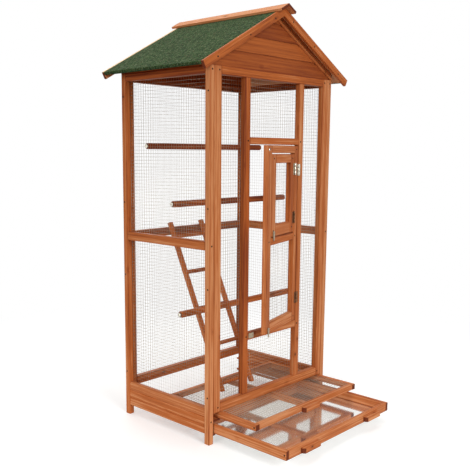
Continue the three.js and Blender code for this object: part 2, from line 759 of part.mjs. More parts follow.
function smallDoor(parent) {
  const door = new THREE.Group();
  door.position.set(smallPinX, 0, 0);
  parent.add(door);
  const height = smallTop - smallBottom;
  const stile = () => batten('z', smallStileWidth, doorThickness, height).translate(0, hingeStandOff, 0);
  const across = smallWidth - smallStileWidth;
  const rail = (size) => {
    const bar = batten('x', across, doorThickness, size);
    return bar.translate(smallLeft + smallStileWidth / 2, hingeStandOff, 0);
  };
  const pieces = [
    stile().translate(smallLeft, 0, 0),
    stile().translate(smallRight - smallStileWidth, 0, 0),
    rail(smallBottomRailHeight),
    rail(smallTopRailHeight).translate(0, 0, height - smallTopRailHeight),
  ];
  for (const hingeCentre of smallHingeHeights) {
    pieces.push(boredLeaf(-1, true).translate(0, 0, hingeCentre - hingeHeight / 2 - smallBottom));
  }
  add('small_door_frame', join(...pieces), pine, 0, 0, smallBottom, door);
  const netBottom = smallBottom + smallBottomRailHeight - netLap;
  const netHeight = smallTop - smallTopRailHeight + netLap - netBottom;
  const netWidth = smallWidth - 2 * smallStileWidth + 2 * netLap;
  const netX = smallLeft + smallStileWidth - netLap;
  const netY = hingeStandOff + doorThickness + seat;
  add('small_door_net', frontNet(netWidth, netHeight), wire, netX, netY, netBottom, door);
  const latchX = smallLeft + latchFromEdge;
  const latchZ = smallBottom + smallLatchLift;
  add('small_latch', turnLatch(), hardware, latchX, hingeStandOff - seat, latchZ, door);
}

// Turn latch: a tapering arm on a boss, hanging down from its screw, in front of the wood
function turnLatch() {
  const taper = Math.asin((latchHeadRadius - latchTipRadius) / latchArm);
  const shape = new THREE.Shape();
  shape.absarc(0, 0, latchHeadRadius, -taper, Math.PI + taper, false);
  shape.absarc(0, -latchArm, latchTipRadius, Math.PI + taper, 2 * Math.PI - taper, false);
  shape.closePath();
  const arm = alongY(shape, latchThickness, { curveSegments: roundSides });
  const disc = (radius, thickness) => roundBar(radius, thickness).rotateX(Math.PI / 2);
  arm.translate(0, -latchBossThickness - latchThickness, 0);
  const boss = disc(latchBossRadius, latchBossThickness + latchThickness / 2);
  const screwDepth = latchScrewThickness + latchThickness / 2;
  const screw = disc(latchScrewRadius, screwDepth);
  screw.translate(0, -latchBossThickness - latchThickness / 2, 0);
  return join(arm, boss, screw);
}

legs();
sidePanel('left', true);
sidePanel('right', false);
runners();
frontPanel();
frontNets();
backPanel();
gables();
roofBoards();
roofFelt();
bargeBoardsAndCap();
perch('high_perch', highPerch);
perch('middle_perch', middlePerch);
perch('low_perch', lowPerch);
ladder();
wireRack();
litterTray();
frameHinges();
mainDoor();

// Centred over the ground between the tray handles in front and the ridge cap behind
const frontmost = -trayPull - handleDepth;
const rearmost = cageDepth + capOverhang;
aviary.position.set(-cageMiddle, -(frontmost + rearmost) / 2, 0);

export default aviary;
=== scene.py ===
"""Bird aviary: the look of its stained timber, welded wire nets, roofing felt and fixings.

Metres in the part's own frame: +Z up, and the doors, the rack and the tray face -Y. Every piece
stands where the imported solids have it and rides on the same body.
"""

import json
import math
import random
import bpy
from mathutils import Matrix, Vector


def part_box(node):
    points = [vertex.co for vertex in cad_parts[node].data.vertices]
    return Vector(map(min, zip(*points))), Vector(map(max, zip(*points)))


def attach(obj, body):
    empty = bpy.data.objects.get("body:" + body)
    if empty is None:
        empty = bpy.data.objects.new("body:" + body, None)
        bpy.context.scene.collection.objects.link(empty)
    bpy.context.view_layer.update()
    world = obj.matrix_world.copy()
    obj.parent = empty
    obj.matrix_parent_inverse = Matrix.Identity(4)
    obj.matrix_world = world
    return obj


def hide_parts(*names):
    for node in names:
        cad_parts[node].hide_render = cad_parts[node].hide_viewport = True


bl_info = {
    "name": "Bird Aviary",
    "version": (1, 0, 0),
    "blender": (4, 5, 0),
    "location": "View3D > Sidebar > Aviary",
    "description": "Stained timber, wire nets, roofing felt and fixings for the bird aviary",
    "category": "Object",
}

import bmesh
import bpy
from bpy.props import FloatProperty, FloatVectorProperty, IntProperty, PointerProperty
from mathutils import Matrix, Vector, noise

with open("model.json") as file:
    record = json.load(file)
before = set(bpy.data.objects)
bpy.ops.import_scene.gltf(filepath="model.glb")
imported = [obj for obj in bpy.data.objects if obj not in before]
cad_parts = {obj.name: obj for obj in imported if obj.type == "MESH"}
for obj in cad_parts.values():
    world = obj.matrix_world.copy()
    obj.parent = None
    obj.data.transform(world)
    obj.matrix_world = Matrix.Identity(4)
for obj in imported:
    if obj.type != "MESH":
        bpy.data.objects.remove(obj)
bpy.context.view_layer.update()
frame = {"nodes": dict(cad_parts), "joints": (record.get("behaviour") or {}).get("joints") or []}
JOINTS = {joint["name"]: joint for joint in frame["joints"]}
HERE = Matrix.Identity(4)
ORDERS = {"x": (0, 1, 2), "y": (1, 2, 0), "z": (2, 0, 1)}
UP = Vector((0, 0, 1))


# Places, most of them read from the frame
def at(x, y, z):
    """A move to a place"""
    return Matrix.Translation((x, y, z))


def span(node, within=HERE):
    """The lowest and highest corner of a solid, in a frame that is turned and moved"""
    inward = within.inverted()
    columns = list(zip(*(inward @ vertex.co for vertex in frame["nodes"][node].data.vertices)))
    return Vector([min(column) for column in columns]), Vector([max(column) for column in columns])


def centre(node):
    """The middle of a solid"""
    low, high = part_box(node)
    return (low + high) / 2


def door_frame(joint_name):
    """The frame of a door: on its hinge pin at floor height, turned as the door stands ajar"""
    x, y, _ = JOINTS[joint_name]["pos_m"]
    return at(x, y, 0) @ AJAR


# The main door's latch screw shows the way that the door faces
FACING = JOINTS["main_latch_turn"]["axis"]
AJAR = Matrix.Rotation(math.atan2(FACING[0], -FACING[1]), 4, "Z")
FACE_UP = Matrix.Rotation(math.radians(90), 4, "X")
MAIN_DOOR = door_frame("main_door_hinge")
SMALL_DOOR = door_frame("small_door_hinge")
LEFT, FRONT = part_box("front_left_leg")[0].xy
RIGHT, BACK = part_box("back_right_leg")[1].xy
CAGE_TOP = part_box("front_left_leg")[1].z
LEG_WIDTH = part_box("front_left_leg")[1].x - LEFT
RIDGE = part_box("roof_board_left")[1].z

# The gap between two pieces that touch, and the bevel round a small metal piece
SEAT = 0.0003
BEVEL = 0.0003
QUARTER = math.radians(90)

# How light (above 0) or dark (below 0) a piece of wood is: partly its stain, and partly painted shade and
# light. Pieces under the eaves and inside the cage are darkened where shade falls on them, and the ceiling
# planks and the back bargeboards are lightened where light falls on them.
TONES = {
    "front_left_leg": 0.0, "front_right_leg": 0.4, "back_left_leg": -0.7, "back_right_leg": -1.7,
    "front_left_stile": 0.1, "front_right_stile": -0.4, "left_mullion": -1.2, "right_mullion": -0.3,
    "front_top_rail": -0.75, "front_bottom_rail": -0.4, "head_rail": -0.3, "sill_rail": -0.3,
    "left_top_rail": -1.4, "left_mid_rail": -0.6, "right_top_rail": -1.0, "right_mid_rail": -0.6,
    "left_base_board": -0.3, "right_base_board": -0.3, "back_top_rail": -1.0, "back_mid_rail": -1.2,
    "back_bottom_rail": -0.6, "rack_runner_left": -0.5, "rack_runner_right": -0.5,
    "tray_runner_left": -0.5, "tray_runner_right": -0.5, "front_gable": -1.3, "back_gable": -0.9,
    "roof_board_left": 0.4, "roof_board_right": 1.3, "front_bargeboards": -0.7, "back_bargeboards": 1.3,
    "ridge_cap": 0.4, "high_perch": -2.0, "middle_perch": -1.5, "low_perch": -1.1, "ladder": -0.7,
    "door_free_stile": -0.5, "door_hinge_stile": -0.7, "door_top_rail": -0.3, "door_mid_rail": -0.6,
    "door_bottom_rail": -0.3, "small_door_frame": -0.3, "rack_frame": -0.2, "tray_frame": -0.2,
}


# Sizes and colours that a user would change
def length(name, description, default):
    return FloatProperty(
        name=name, description=description, default=default, min=0, unit="LENGTH", precision=5
    )


def count(name, description, default, least=1):
    return IntProperty(name=name, description=description, default=default, min=least)


def colour(name, description, default):
    return FloatVectorProperty(
        name=name, description=description, default=default, subtype="COLOR", min=0, max=1
    )


class TimberSettings(bpy.types.PropertyGroup):
    ease: length("Eased edge", "Radius along the long edges of a batten", 0.002)
    end_ease: length("Eased end", "Size of the small bevel round a sawn end", 0.0006)
    ring_width: length("Ring width", "Distance between two growth rings", 0.0042)
    stain: colour("Stain", "Colour of the wood between its rings", (0.500, 0.158, 0.050))
    pale_stain: colour("Pale stain", "Colour of the palest wood", (0.66, 0.275, 0.115))
    dark_stain: colour("Dark stain", "Colour of the rings and of the darkest wood", (0.215, 0.042, 0.012))
    knot_stain: colour("Knot stain", "Colour of a knot", (0.060, 0.016, 0.008))
    # Painted highlight: a pale colour on the top edge of the palest pieces, standing in for the bright
    # light that catches that edge from behind
    painted_rim_highlight: colour("Bare pine", "Colour of an outer edge that the stain has missed", (0.92, 0.62, 0.33))
    warm_stain: colour("Warm stain", "Colour of the warmest wood between rings", (0.500, 0.130, 0.028))
    # How far the darker edges reach: stain gathered on the edges, and painted shade of the gaps between
    # boards and at the joints
    edge_stain_and_shade: length("Edge stain", "How far the stain that gathers on the edges reaches", 0.0036)


class NetSettings(bpy.types.PropertyGroup):
    pitch: length("Mesh", "Distance between two parallel wires", 0.0127)
    wire_radius: length("Wire radius", "Half the thickness of a wire", 0.00032)
    wire_sides: count("Wire sides", "Sides of a wire's section", 6, 3)
    lap: length("Lap", "How far a net reaches behind the wood round it", 0.013)
    zinc: colour("Galvanising", "Colour of the galvanised wire", (0.42, 0.36, 0.28))
    rack_wire_radius: length("Rack wire radius", "Half the thickness of the rack's stouter wire", 0.00048)


class RoofSettings(bpy.types.PropertyGroup):
    pitch: FloatProperty(
        name="Pitch", description="Slope of the roof", default=math.radians(28.5), subtype="ANGLE"
    )
    plank_count: count("Planks", "Planks on each slope", 5)
    cladding_count: count("Gable boards", "Shiplap boards in a gable", 4)
    felt_thickness: length("Felt thickness", "Thickness of the roofing felt", 0.002)
    felt_green: colour("Felt green", "Main colour of the felt's granules", (0.045, 0.092, 0.028))
    felt_dark: colour("Felt dark", "Colour between the granules", (0.012, 0.030, 0.010))
    felt_pale: colour("Felt pale", "Colour of the pale granules", (0.19, 0.21, 0.125))
    felt_red: colour("Felt red", "Colour of the few red granules", (0.15, 0.060, 0.035))


class FixingSettings(bpy.types.PropertyGroup):
    nail_radius: length("Nail head", "Radius of a nail head", 0.0034)
    washer_radius: length("Washer", "Radius of the washers at the perch ends", 0.0078)
    zinc_plate: colour("Zinc plate", "Colour of the bright knuckles, pins and washers", (0.74, 0.70, 0.60))
    # Painted reflection: the leaves, latches and keeper have the knuckles' plating made darker, standing in
    # for the dark surroundings that their flat faces would reflect
    leaf_plate: colour("Leaf plate", "Colour of the dull hinge leaves and latches", (0.42, 0.34, 0.24))
    tarnish: colour("Tarnished plate", "Colour of the dark lower hinges", (0.25, 0.115, 0.055))
    nail_steel: colour("Nail steel", "Colour of the nail heads", (0.045, 0.022, 0.015))
    tray_zinc: colour("Tray zinc", "Colour of the tray's sheet", (0.90, 0.89, 0.86))


class StageSettings(bpy.types.PropertyGroup):
    floor: colour("Floor", "Colour of the studio floor", (0.82, 0.82, 0.81))
    floor_fill: colour("Floor fill", "Light that the floor gives off to the camera", (0.32, 0.32, 0.32))
    floor_radius: length("Floor radius", "Distance at which the floor has faded to white", 2.2)


def timber():
    return bpy.context.scene.aviary_timber


def nets():
    return bpy.context.scene.aviary_nets


def roof():
    return bpy.context.scene.aviary_roof


def fixings():
    return bpy.context.scene.aviary_fixings


def studio():
    return bpy.context.scene.aviary_studio


# Node trees and sums written as Python expressions
class Tree:
    """A node tree, with one way to add any node"""

    def __init__(self, tree):
        self.tree = tree
        self.tree.nodes.clear()

    def node(self, kind, inputs=None, **settings):
        """A node of one kind: its settings are set first, then the values or links of its sockets"""
        node = self.tree.nodes.new(kind)
        for name, value in settings.items():
            setattr(node, name, value)
        for key, value in (inputs or {}).items():
            self.feed(node.inputs[key], value)
        return node

    def feed(self, socket, value):
        if isinstance(value, Sum):
            self.tree.links.new(value.socket, socket)
        elif isinstance(value, bpy.types.NodeSocket):
            self.tree.links.new(value, socket)
        elif socket.type == "RGBA":
            socket.default_value = (*value, 1)
        else:
            socket.default_value = value

    def parts(self, vector):
        """The three numbers of a place or a colour"""
        return [Sum(self, output) for output in self.node("ShaderNodeSeparateXYZ", {0: vector}).outputs]


class Sum:
    """A number in a node tree. Operators on it add the Math nodes."""

    def __init__(self, tree, socket):
        self.tree = tree
        self.socket = socket

    def math(self, operation, *others):
        inputs = dict(enumerate([self, *others]))
        return Sum(self.tree, self.tree.node("ShaderNodeMath", inputs, operation=operation).outputs[0])

    def __add__(self, other):
        return self.math("ADD", other)

    def __mul__(self, other):
        return self.math("MULTIPLY", other)

    __radd__ = __add__
    __rmul__ = __mul__

    def __sub__(self, other):
        return self.math("SUBTRACT", other)

    def __rsub__(self, other):
        return (self * -1) + other

    def __truediv__(self, other):
        return self.math("DIVIDE", other)

    def __pow__(self, other):
        return self.math("POWER", other)

    def fraction(self):
        return self.math("FRACT")

    def between(self, low, high):
        """0 below low, 1 above high, and a soft step between them"""
        inputs = {"Value": self, "From Min": low, "From Max": high}
        node = self.tree.node("ShaderNodeMapRange", inputs, interpolation_type="SMOOTHSTEP")
        return Sum(self.tree, node.outputs["Result"])


class Finish(Tree):
    """A material with one Principled shader, built up from sums"""

    def __init__(self, name):
        self.material = bpy.data.materials.new(name)
        self.material.use_nodes = True
        super().__init__(self.material.node_tree)
        self.shader = self.node("ShaderNodeBsdfPrincipled")
        self.node("ShaderNodeOutputMaterial", {"Surface": self.shader.outputs[0]})

    def set(self, **inputs):
        """Values or links of the shader's own sockets, with _ for a space"""
        for name, value in inputs.items():
            self.feed(self.shader.inputs[name.replace("_", " ")], value)

    def attribute(self, name):
        return self.node("ShaderNodeAttribute", attribute_name=name).outputs["Vector"]

    def object_place(self):
        return self.node("ShaderNodeTexCoord").outputs["Object"]

    def stretched(self, place, scale, shift):
        """A place scaled along each axis and then moved"""
        inputs = {0: place, 1: scale, 2: shift}
        return self.node("ShaderNodeVectorMath", inputs, operation="MULTIPLY_ADD").outputs[0]

    def noise(self, place, scale, shift=(0, 0, 0), detail=3, roughness=0.55):
        place = self.stretched(place, scale, shift)
        inputs = {"Vector": place, "Scale": 1, "Detail": detail, "Roughness": roughness}
        return Sum(self, self.node("ShaderNodeTexNoise", inputs).outputs["Fac"])

    def cells(self, place, scale, shift=(0, 0, 0)):
        """The distance to the nearest of scattered points, and that point's own random number"""
        inputs = {"Vector": self.stretched(place, scale, shift), "Scale": 1}
        node = self.node("ShaderNodeTexVoronoi", inputs)
        return Sum(self, node.outputs["Distance"]), self.parts(node.outputs["Color"])[0]

    def mix(self, share, first, second):
        """One colour turning to another with a share from 0 to 1"""
        inputs = {0: share, 6: first, 7: second}
        return self.node("ShaderNodeMix", inputs, data_type="RGBA", clamp_factor=True).outputs[2]

    def bump(self, height, depth, strength):
        inputs = {"Height": height, "Distance": depth, "Strength": strength}
        return self.node("ShaderNodeBump", inputs).outputs[0]


# Patterns in the wood: how many fit in a metre along the grain, across it and through it
SWAY = (2.4, 11, 11)
WAVE = (5, 30, 30)
FIBRES = (16, 620, 620)
BANDS = (2.2, 150, 150)
PATCHES = (3.5, 26, 26)
KNOTS = (15, 24, 24)

# How much each pattern darkens the wood, and how dark the wood is without them
RING_SHARE = 0.22
FIBRE_SHARE = 0.26
BAND_SHARE = 0.52
PATCH_SHARE = 1.1
KNOT_SHARE = 0.25
TONE_SHARE = 0.42
MEAN_SHADE = 0.34

# A knot's heart and the dark wood round it, as distances in cells, and the draws that make a knot
KNOT_HEART = (0.05, 0.13)
KNOT_HALO = (0.08, 0.34)
KNOT_DRAW = (0.80, 0.82)

# How far the rings stray in metres, how much a knot bends them, and how thin their dark wood is
RING_SWAY = 0.020
RING_WAVE = 0.004
RING_BEND = 1.6
RING_THINNESS = 2.6

# Where the darker edge of gathered stain and painted shade starts to fade, the least width of a calm board,
# and the depth of the grain
EDGE_START = 0.001
WIDE_BOARD = 0.04
GRAIN_DEPTH = 0.0003


def pine_finish(name, sawn_end):
    """Stained pine: growth rings round a pith beside the batten, fibres, knots, patches, edges darkened by
    gathered stain and painted shade, a painted highlight on the top edges of the palest pieces, and tones
    that are partly painted shade and light
    """
    finish = Finish(name)
    settings = timber()
    grain = finish.attribute("grain")
    # The stain layer's tone is partly the board's stain and partly painted shade and light
    tone, warmth, calm = finish.parts(finish.attribute("stain"))
    half = finish.parts(finish.attribute("half"))
    place = finish.parts(finish.attribute("section"))
    from_end, from_side, from_top = [size - part.math("ABSOLUTE") for size, part in zip(half, place)]
    # Darker along the long edges and towards the ends of each board: stain gathered there, and painted
    # shade of the gaps between boards and at the joints
    edge = 1 - (from_side + from_top).between(EDGE_START, EDGE_START + settings.edge_stain_and_shade)
    end = 1 - from_end.between(0, settings.edge_stain_and_shade)
    # Painted highlight along the top edge, shown on the palest pieces below
    top_edge = 1 - (half[2] - place[2]).between(EDGE_START, EDGE_START * 1.5)
    _, across, through = finish.parts(grain)
    sway = finish.noise(grain, SWAY, detail=2) - 0.5
    wave = finish.noise(grain, WAVE, (7, 3, 1)) - 0.5
    fibre = finish.noise(grain, FIBRES)
    band = finish.noise(grain, BANDS, (4, 4, 4), detail=2)
    patch = finish.noise(grain, PATCHES, (2, 9, 5))
    knot_distance, knot_draw = finish.cells(grain, KNOTS)
    has_knot = knot_draw.between(*KNOT_DRAW)
    knot = (1 - knot_distance.between(*KNOT_HEART)) * has_knot
    knot_halo = (1 - knot_distance.between(*KNOT_HALO)) * has_knot
    radius = (across * across + through * through) ** 0.5
    radius = radius + sway * RING_SWAY + wave * RING_WAVE
    phase = radius / settings.ring_width + knot_halo * RING_BEND
    late_wood = phase.fraction() ** RING_THINNESS
    # How much the edges and ends are darkened, by gathered stain and painted shade
    gathered_stain_and_shade = (edge + end) * (patch * 0.5 + 0.02)
    shade = (late_wood - 0.3) * RING_SHARE + (fibre.between(0.36, 0.70) - 0.5) * FIBRE_SHARE
    shade = shade + (band.between(0.32, 0.68) - 0.5) * BAND_SHARE + (patch - 0.5) * PATCH_SHARE
    shade = shade * (1 - calm * 0.5) + MEAN_SHADE
    # The piece's tone darkens or lightens it: partly its stain, partly painted shade and painted light
    shade = shade + knot_halo * KNOT_SHARE + gathered_stain_and_shade - tone * TONE_SHARE
    if sawn_end:
        body = finish.mix(late_wood * 0.4 + 0.35, settings.dark_stain, settings.knot_stain)
    else:
        stain = finish.mix(warmth, settings.stain, settings.warm_stain)
        body = finish.mix(shade.between(0.02, 0.50), settings.pale_stain, stain)
        body = finish.mix(shade.between(0.45, 1.35), body, settings.dark_stain)
        body = finish.mix(knot, body, settings.knot_stain)
        # Painted highlight: the top edge of pieces with a tone above 0.7 turns pale
        body = finish.mix(top_edge * tone.between(0.7, 1), body, settings.painted_rim_highlight)
    finish.set(
        Base_Color=body,
        Roughness=(0.62 if sawn_end else 0.50) + fibre * 0.16 - late_wood * 0.05,
        Normal=finish.bump(fibre * 0.5 + late_wood * 0.5 - knot * 0.6, GRAIN_DEPTH, 0.55),
        Specular_IOR_Level=0.12,
    )
    return finish.material


# Patterns in the felt: how many fit in a metre, and the depth of its granules
GRANULES = (480, 480, 480)
CLUMPS = (230, 230, 230)
MOTTLE = (85, 85, 85)
CLOUDS = (9, 9, 9)
GRANULE_DEPTH = 0.0011


def felt_finish():
    """Green mineral felt: fine granules, pale and red ones among them, over darker and greener clumps"""
    finish = Finish("mineral_felt")
    settings = roof()
    place = finish.object_place()
    granule, draw = finish.cells(place, GRANULES)
    _, clump = finish.cells(place, CLUMPS, (3, 1, 4))
    mottle = finish.noise(place, MOTTLE, detail=4, roughness=0.75)
    cloud = finish.noise(place, CLOUDS)
    share = clump * 0.8 + (mottle - 0.5) * 5 + cloud * 0.2
    body = finish.mix(share, settings.felt_dark, settings.felt_green)
    body = finish.mix((1 - draw.between(0.05, 0.07)) * 0.6, body, settings.felt_red)
    body = finish.mix(draw.between(0.74, 0.92) * mottle.between(0.35, 0.65), body, settings.felt_pale)
    finish.set(
        Base_Color=body,
        Roughness=0.95,
        Normal=finish.bump((1 - granule) * 0.6 + mottle * 0.4, GRANULE_DEPTH, 0.9),
        Specular_IOR_Level=0.1,
    )
    return finish.material


# Patterns in the plating: how many clouds and scratches fit in a metre
PLATING = (60, 60, 60)
SCRATCHES = (30, 900, 900)


def metal_finish(name, shade, roughness, scratch=0.0, wear=0.15, cloudy=0.10, metallic=1.0):
    """Plated or galvanised metal with fine scratches and cloudy plating"""
    finish = Finish(name)
    place = finish.object_place()
    cloud = finish.noise(place, PLATING, detail=4)
    fine = finish.noise(place, SCRATCHES, detail=2)
    darker = tuple(part * (1 - wear) for part in shade)
    finish.set(
        Base_Color=finish.mix(cloud.between(0.3, 0.7), darker, tuple(shade)),
        Metallic=metallic,
        Roughness=roughness + (cloud - 0.5) * cloudy + (fine - 0.5) * scratch,
    )
    return finish.material


FINISHES = {
    "pine": lambda: pine_finish("stained_pine", sawn_end=False),
    "pine_end": lambda: pine_finish("stained_pine_end", sawn_end=True),
    "felt": felt_finish,
    "net": lambda: metal_finish("galvanised_wire", nets().zinc, 0.42),
    "sheet": lambda: metal_finish(
        "galvanised_sheet", fixings().tray_zinc, 0.09, wear=0.02, cloudy=0.01, metallic=0.9
    ),
    "plate": lambda: metal_finish("zinc_plate", fixings().zinc_plate, 0.27, scratch=0.08),
    # Painted reflection: the knuckles' plating made darker on the flat leaves, latches and keeper, standing
    # in for the dark surroundings that they would reflect
    "leaf": lambda: metal_finish("dull_plate", fixings().leaf_plate, 0.42, scratch=0.08),
    "tarnish": lambda: metal_finish("tarnished_plate", fixings().tarnish, 0.5, scratch=0.08, wear=0.4),
    "nail": lambda: metal_finish("nail_steel", fixings().nail_steel, 0.5, wear=0.4),
}
MATERIALS = {}


def material(name):
    """One of the aviary's finishes, made when it is first used"""
    if name not in MATERIALS:
        MATERIALS[name] = FINISHES[name]()
    return MATERIALS[name]


# Outlines and frames
def along(axis, low=(0, 0, 0)):
    """Turns a board's own frame, with its length first, to run along an axis from a corner"""
    turn = Matrix([Matrix.Identity(3)[row] for row in ORDERS[axis]]).transposed()
    return Matrix.Translation(low) @ turn.to_4x4()


def rounded(width, height, radius, steps=3):
    """A rectangle with rounded corners, or with chamfers where steps is 1"""
    points = []
    for quarter, (y, z) in enumerate([(width, 0), (width, height), (0, height), (0, 0)]):
        centre = Vector((y - radius if y else radius, z - radius if z else radius))
        for step in range(steps + 1):
            angle = QUARTER * (quarter - 1 + step / steps)
            points.append(centre + radius * Vector((math.cos(angle), math.sin(angle))))
    return points


def slope(side):
    """The frame of a roof slope, left (-1) or right (1): down from the ridge, along it, and outwards"""
    down = Vector((side * math.cos(roof().pitch), 0, -math.sin(roof().pitch)))
    out = Vector((side * math.sin(roof().pitch), 0, math.cos(roof().pitch)))
    turn = Matrix((down, out.cross(down), out)).transposed().to_4x4()
    return at(0, 0, RIDGE) @ turn


# Pieces
def added(name, data):
    """A new object in the scene"""
    thing = bpy.data.objects.new(name, data)
    bpy.context.scene.collection.objects.link(thing)
    return thing


def dressed(piece, body, slot, *nodes):
    """Hands a finished object over: its body and the solids that it stands for. Its slot is not used."""
    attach(piece, body)
    if nodes:
        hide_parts(*nodes)


class Piece:
    """A piece of the aviary: what is added to it becomes one mesh in its finished place"""

    # A screw head's dome and the two bars of its cross, as shares of its radius and its rise. The cross is
    # painted shade: dark bars on the dome stand in for the shade in a recessed slot.
    DOME = ((1, 0), (1, 0.25), (0.8, 0.75), (0.4, 1))
    DOME_SIDES = 16
    CROSS_LENGTH = 1.2
    CROSS_WIDTH = 0.24
    CROSS_FOOT = 0.8
    CROSS_HEIGHT = 0.25
    CROSS_CHAMFER = 0.04
    CROSS_TURNS = (20, 110)
    CROSS_BEVEL = 0.00002
    # The cross takes the dark finish, painted shade of the slot
    CROSS_FINISH = 1

    def __init__(self, name, materials, place=HERE):
        self.name = name
        self.materials = materials
        self.place = place
        self.mesh = bmesh.new()

    def rings(self, rings, face=0, smooth=True, closed=False):
        """Skins rings of points that follow each other, and caps the first and last of them"""
        loops = [[self.mesh.verts.new(point) for point in ring] for ring in rings]
        pairs = list(zip(loops, loops[1:]))
        if closed:
            pairs.append((loops[-1], loops[0]))
        for near, far in pairs:
            for index in range(len(near)):
                after = (index + 1) % len(near)
                side = self.mesh.faces.new((near[index], near[after], far[after], far[index]))
                side.material_index = face
                side.smooth = smooth
        if not closed:
            for cap in (list(reversed(loops[0])), loops[-1]):
                self.mesh.faces.new(cap).material_index = face
        return [vertex for loop in loops for vertex in loop]

    def settle(self, vertices, place):
        for vertex in vertices:
            vertex.co = place @ vertex.co

    def turned(self, profile, place=HERE, sides=20, closed=False):
        """A round form about Z from (radius, height) points, with a hole where the profile is closed"""
        angles = [math.tau * side / sides for side in range(sides)]
        rings = [[(r * math.cos(a), r * math.sin(a), z) for a in angles] for r, z in profile]
        self.settle(self.rings(rings, closed=closed), place)

    def rod(self, radius, low, high, place=HERE, sides=20):
        """A round bar along Z, with a bevel of a fifth of its radius at both ends"""
        edge = min(radius, high - low) / 5
        profile = [(radius - edge, low), (radius, low + edge), (radius, high - edge), (radius - edge, high)]
        self.turned(profile, place, sides)

    def tube(self, radius, bore, low, high):
        """A round bar along Z with a bore through it"""
        edge = (radius - bore) / 5
        profile = [(bore, high), (bore, low), (radius - edge, low)]
        profile += [(radius, low + edge), (radius, high - edge), (radius - edge, high)]
        self.turned(profile, closed=True)

    def bar(self, outline, length, place=HERE, inset=BEVEL, run=None, face=0):
        """An outline in Y and Z, drawn out along X, with a small bevel at both ends"""
        run = inset if run is None else run
        middle = sum(outline, Vector((0, 0))) / len(outline)
        reach = max((point - middle).length for point in outline)
        small = [middle + (point - middle) * (1 - inset / reach) for point in outline]
        places = [(0, small), (run, outline), (length - run, outline), (length, small)]
        rings = [[(x, point.x, point.y) for point in shape] for x, shape in places]
        vertices = self.rings(rings, face, smooth=False)
        self.settle(vertices, place)
        return vertices

    def plate(self, outline, thickness, place=HERE, face=0):
        """A flat plate: an outline in X and Y with its thickness along Z"""
        self.bar(outline, thickness, place @ along("z"), face=face)

    def screw(self, place, radius, rise):
        """A domed screw head with a cross of dark bars, painted shade in place of a recessed slot, standing
        on Z 0
        """
        self.turned([(radius * across, rise * up) for across, up in self.DOME], place, self.DOME_SIDES)
        length, width = radius * self.CROSS_LENGTH, radius * self.CROSS_WIDTH
        outline = rounded(width, rise * self.CROSS_HEIGHT, rise * self.CROSS_CHAMFER, 1)
        corner = at(-length / 2, -width / 2, rise * self.CROSS_FOOT)
        for degrees in self.CROSS_TURNS:
            turn = Matrix.Rotation(math.radians(degrees), 4, "Z")
            self.bar(outline, length, place @ turn @ corner, self.CROSS_BEVEL, face=self.CROSS_FINISH)

    def finish(self, body, slot, *nodes):
        """The finished object, riding on its body in place of the solids that it stands for"""
        self.mesh.transform(self.place)
        data = bpy.data.meshes.new(self.name)
        self.mesh.to_mesh(data)
        self.mesh.free()
        for name in self.materials:
            data.materials.append(material(name))
        dressed(added(self.name, data), body, slot, *nodes)


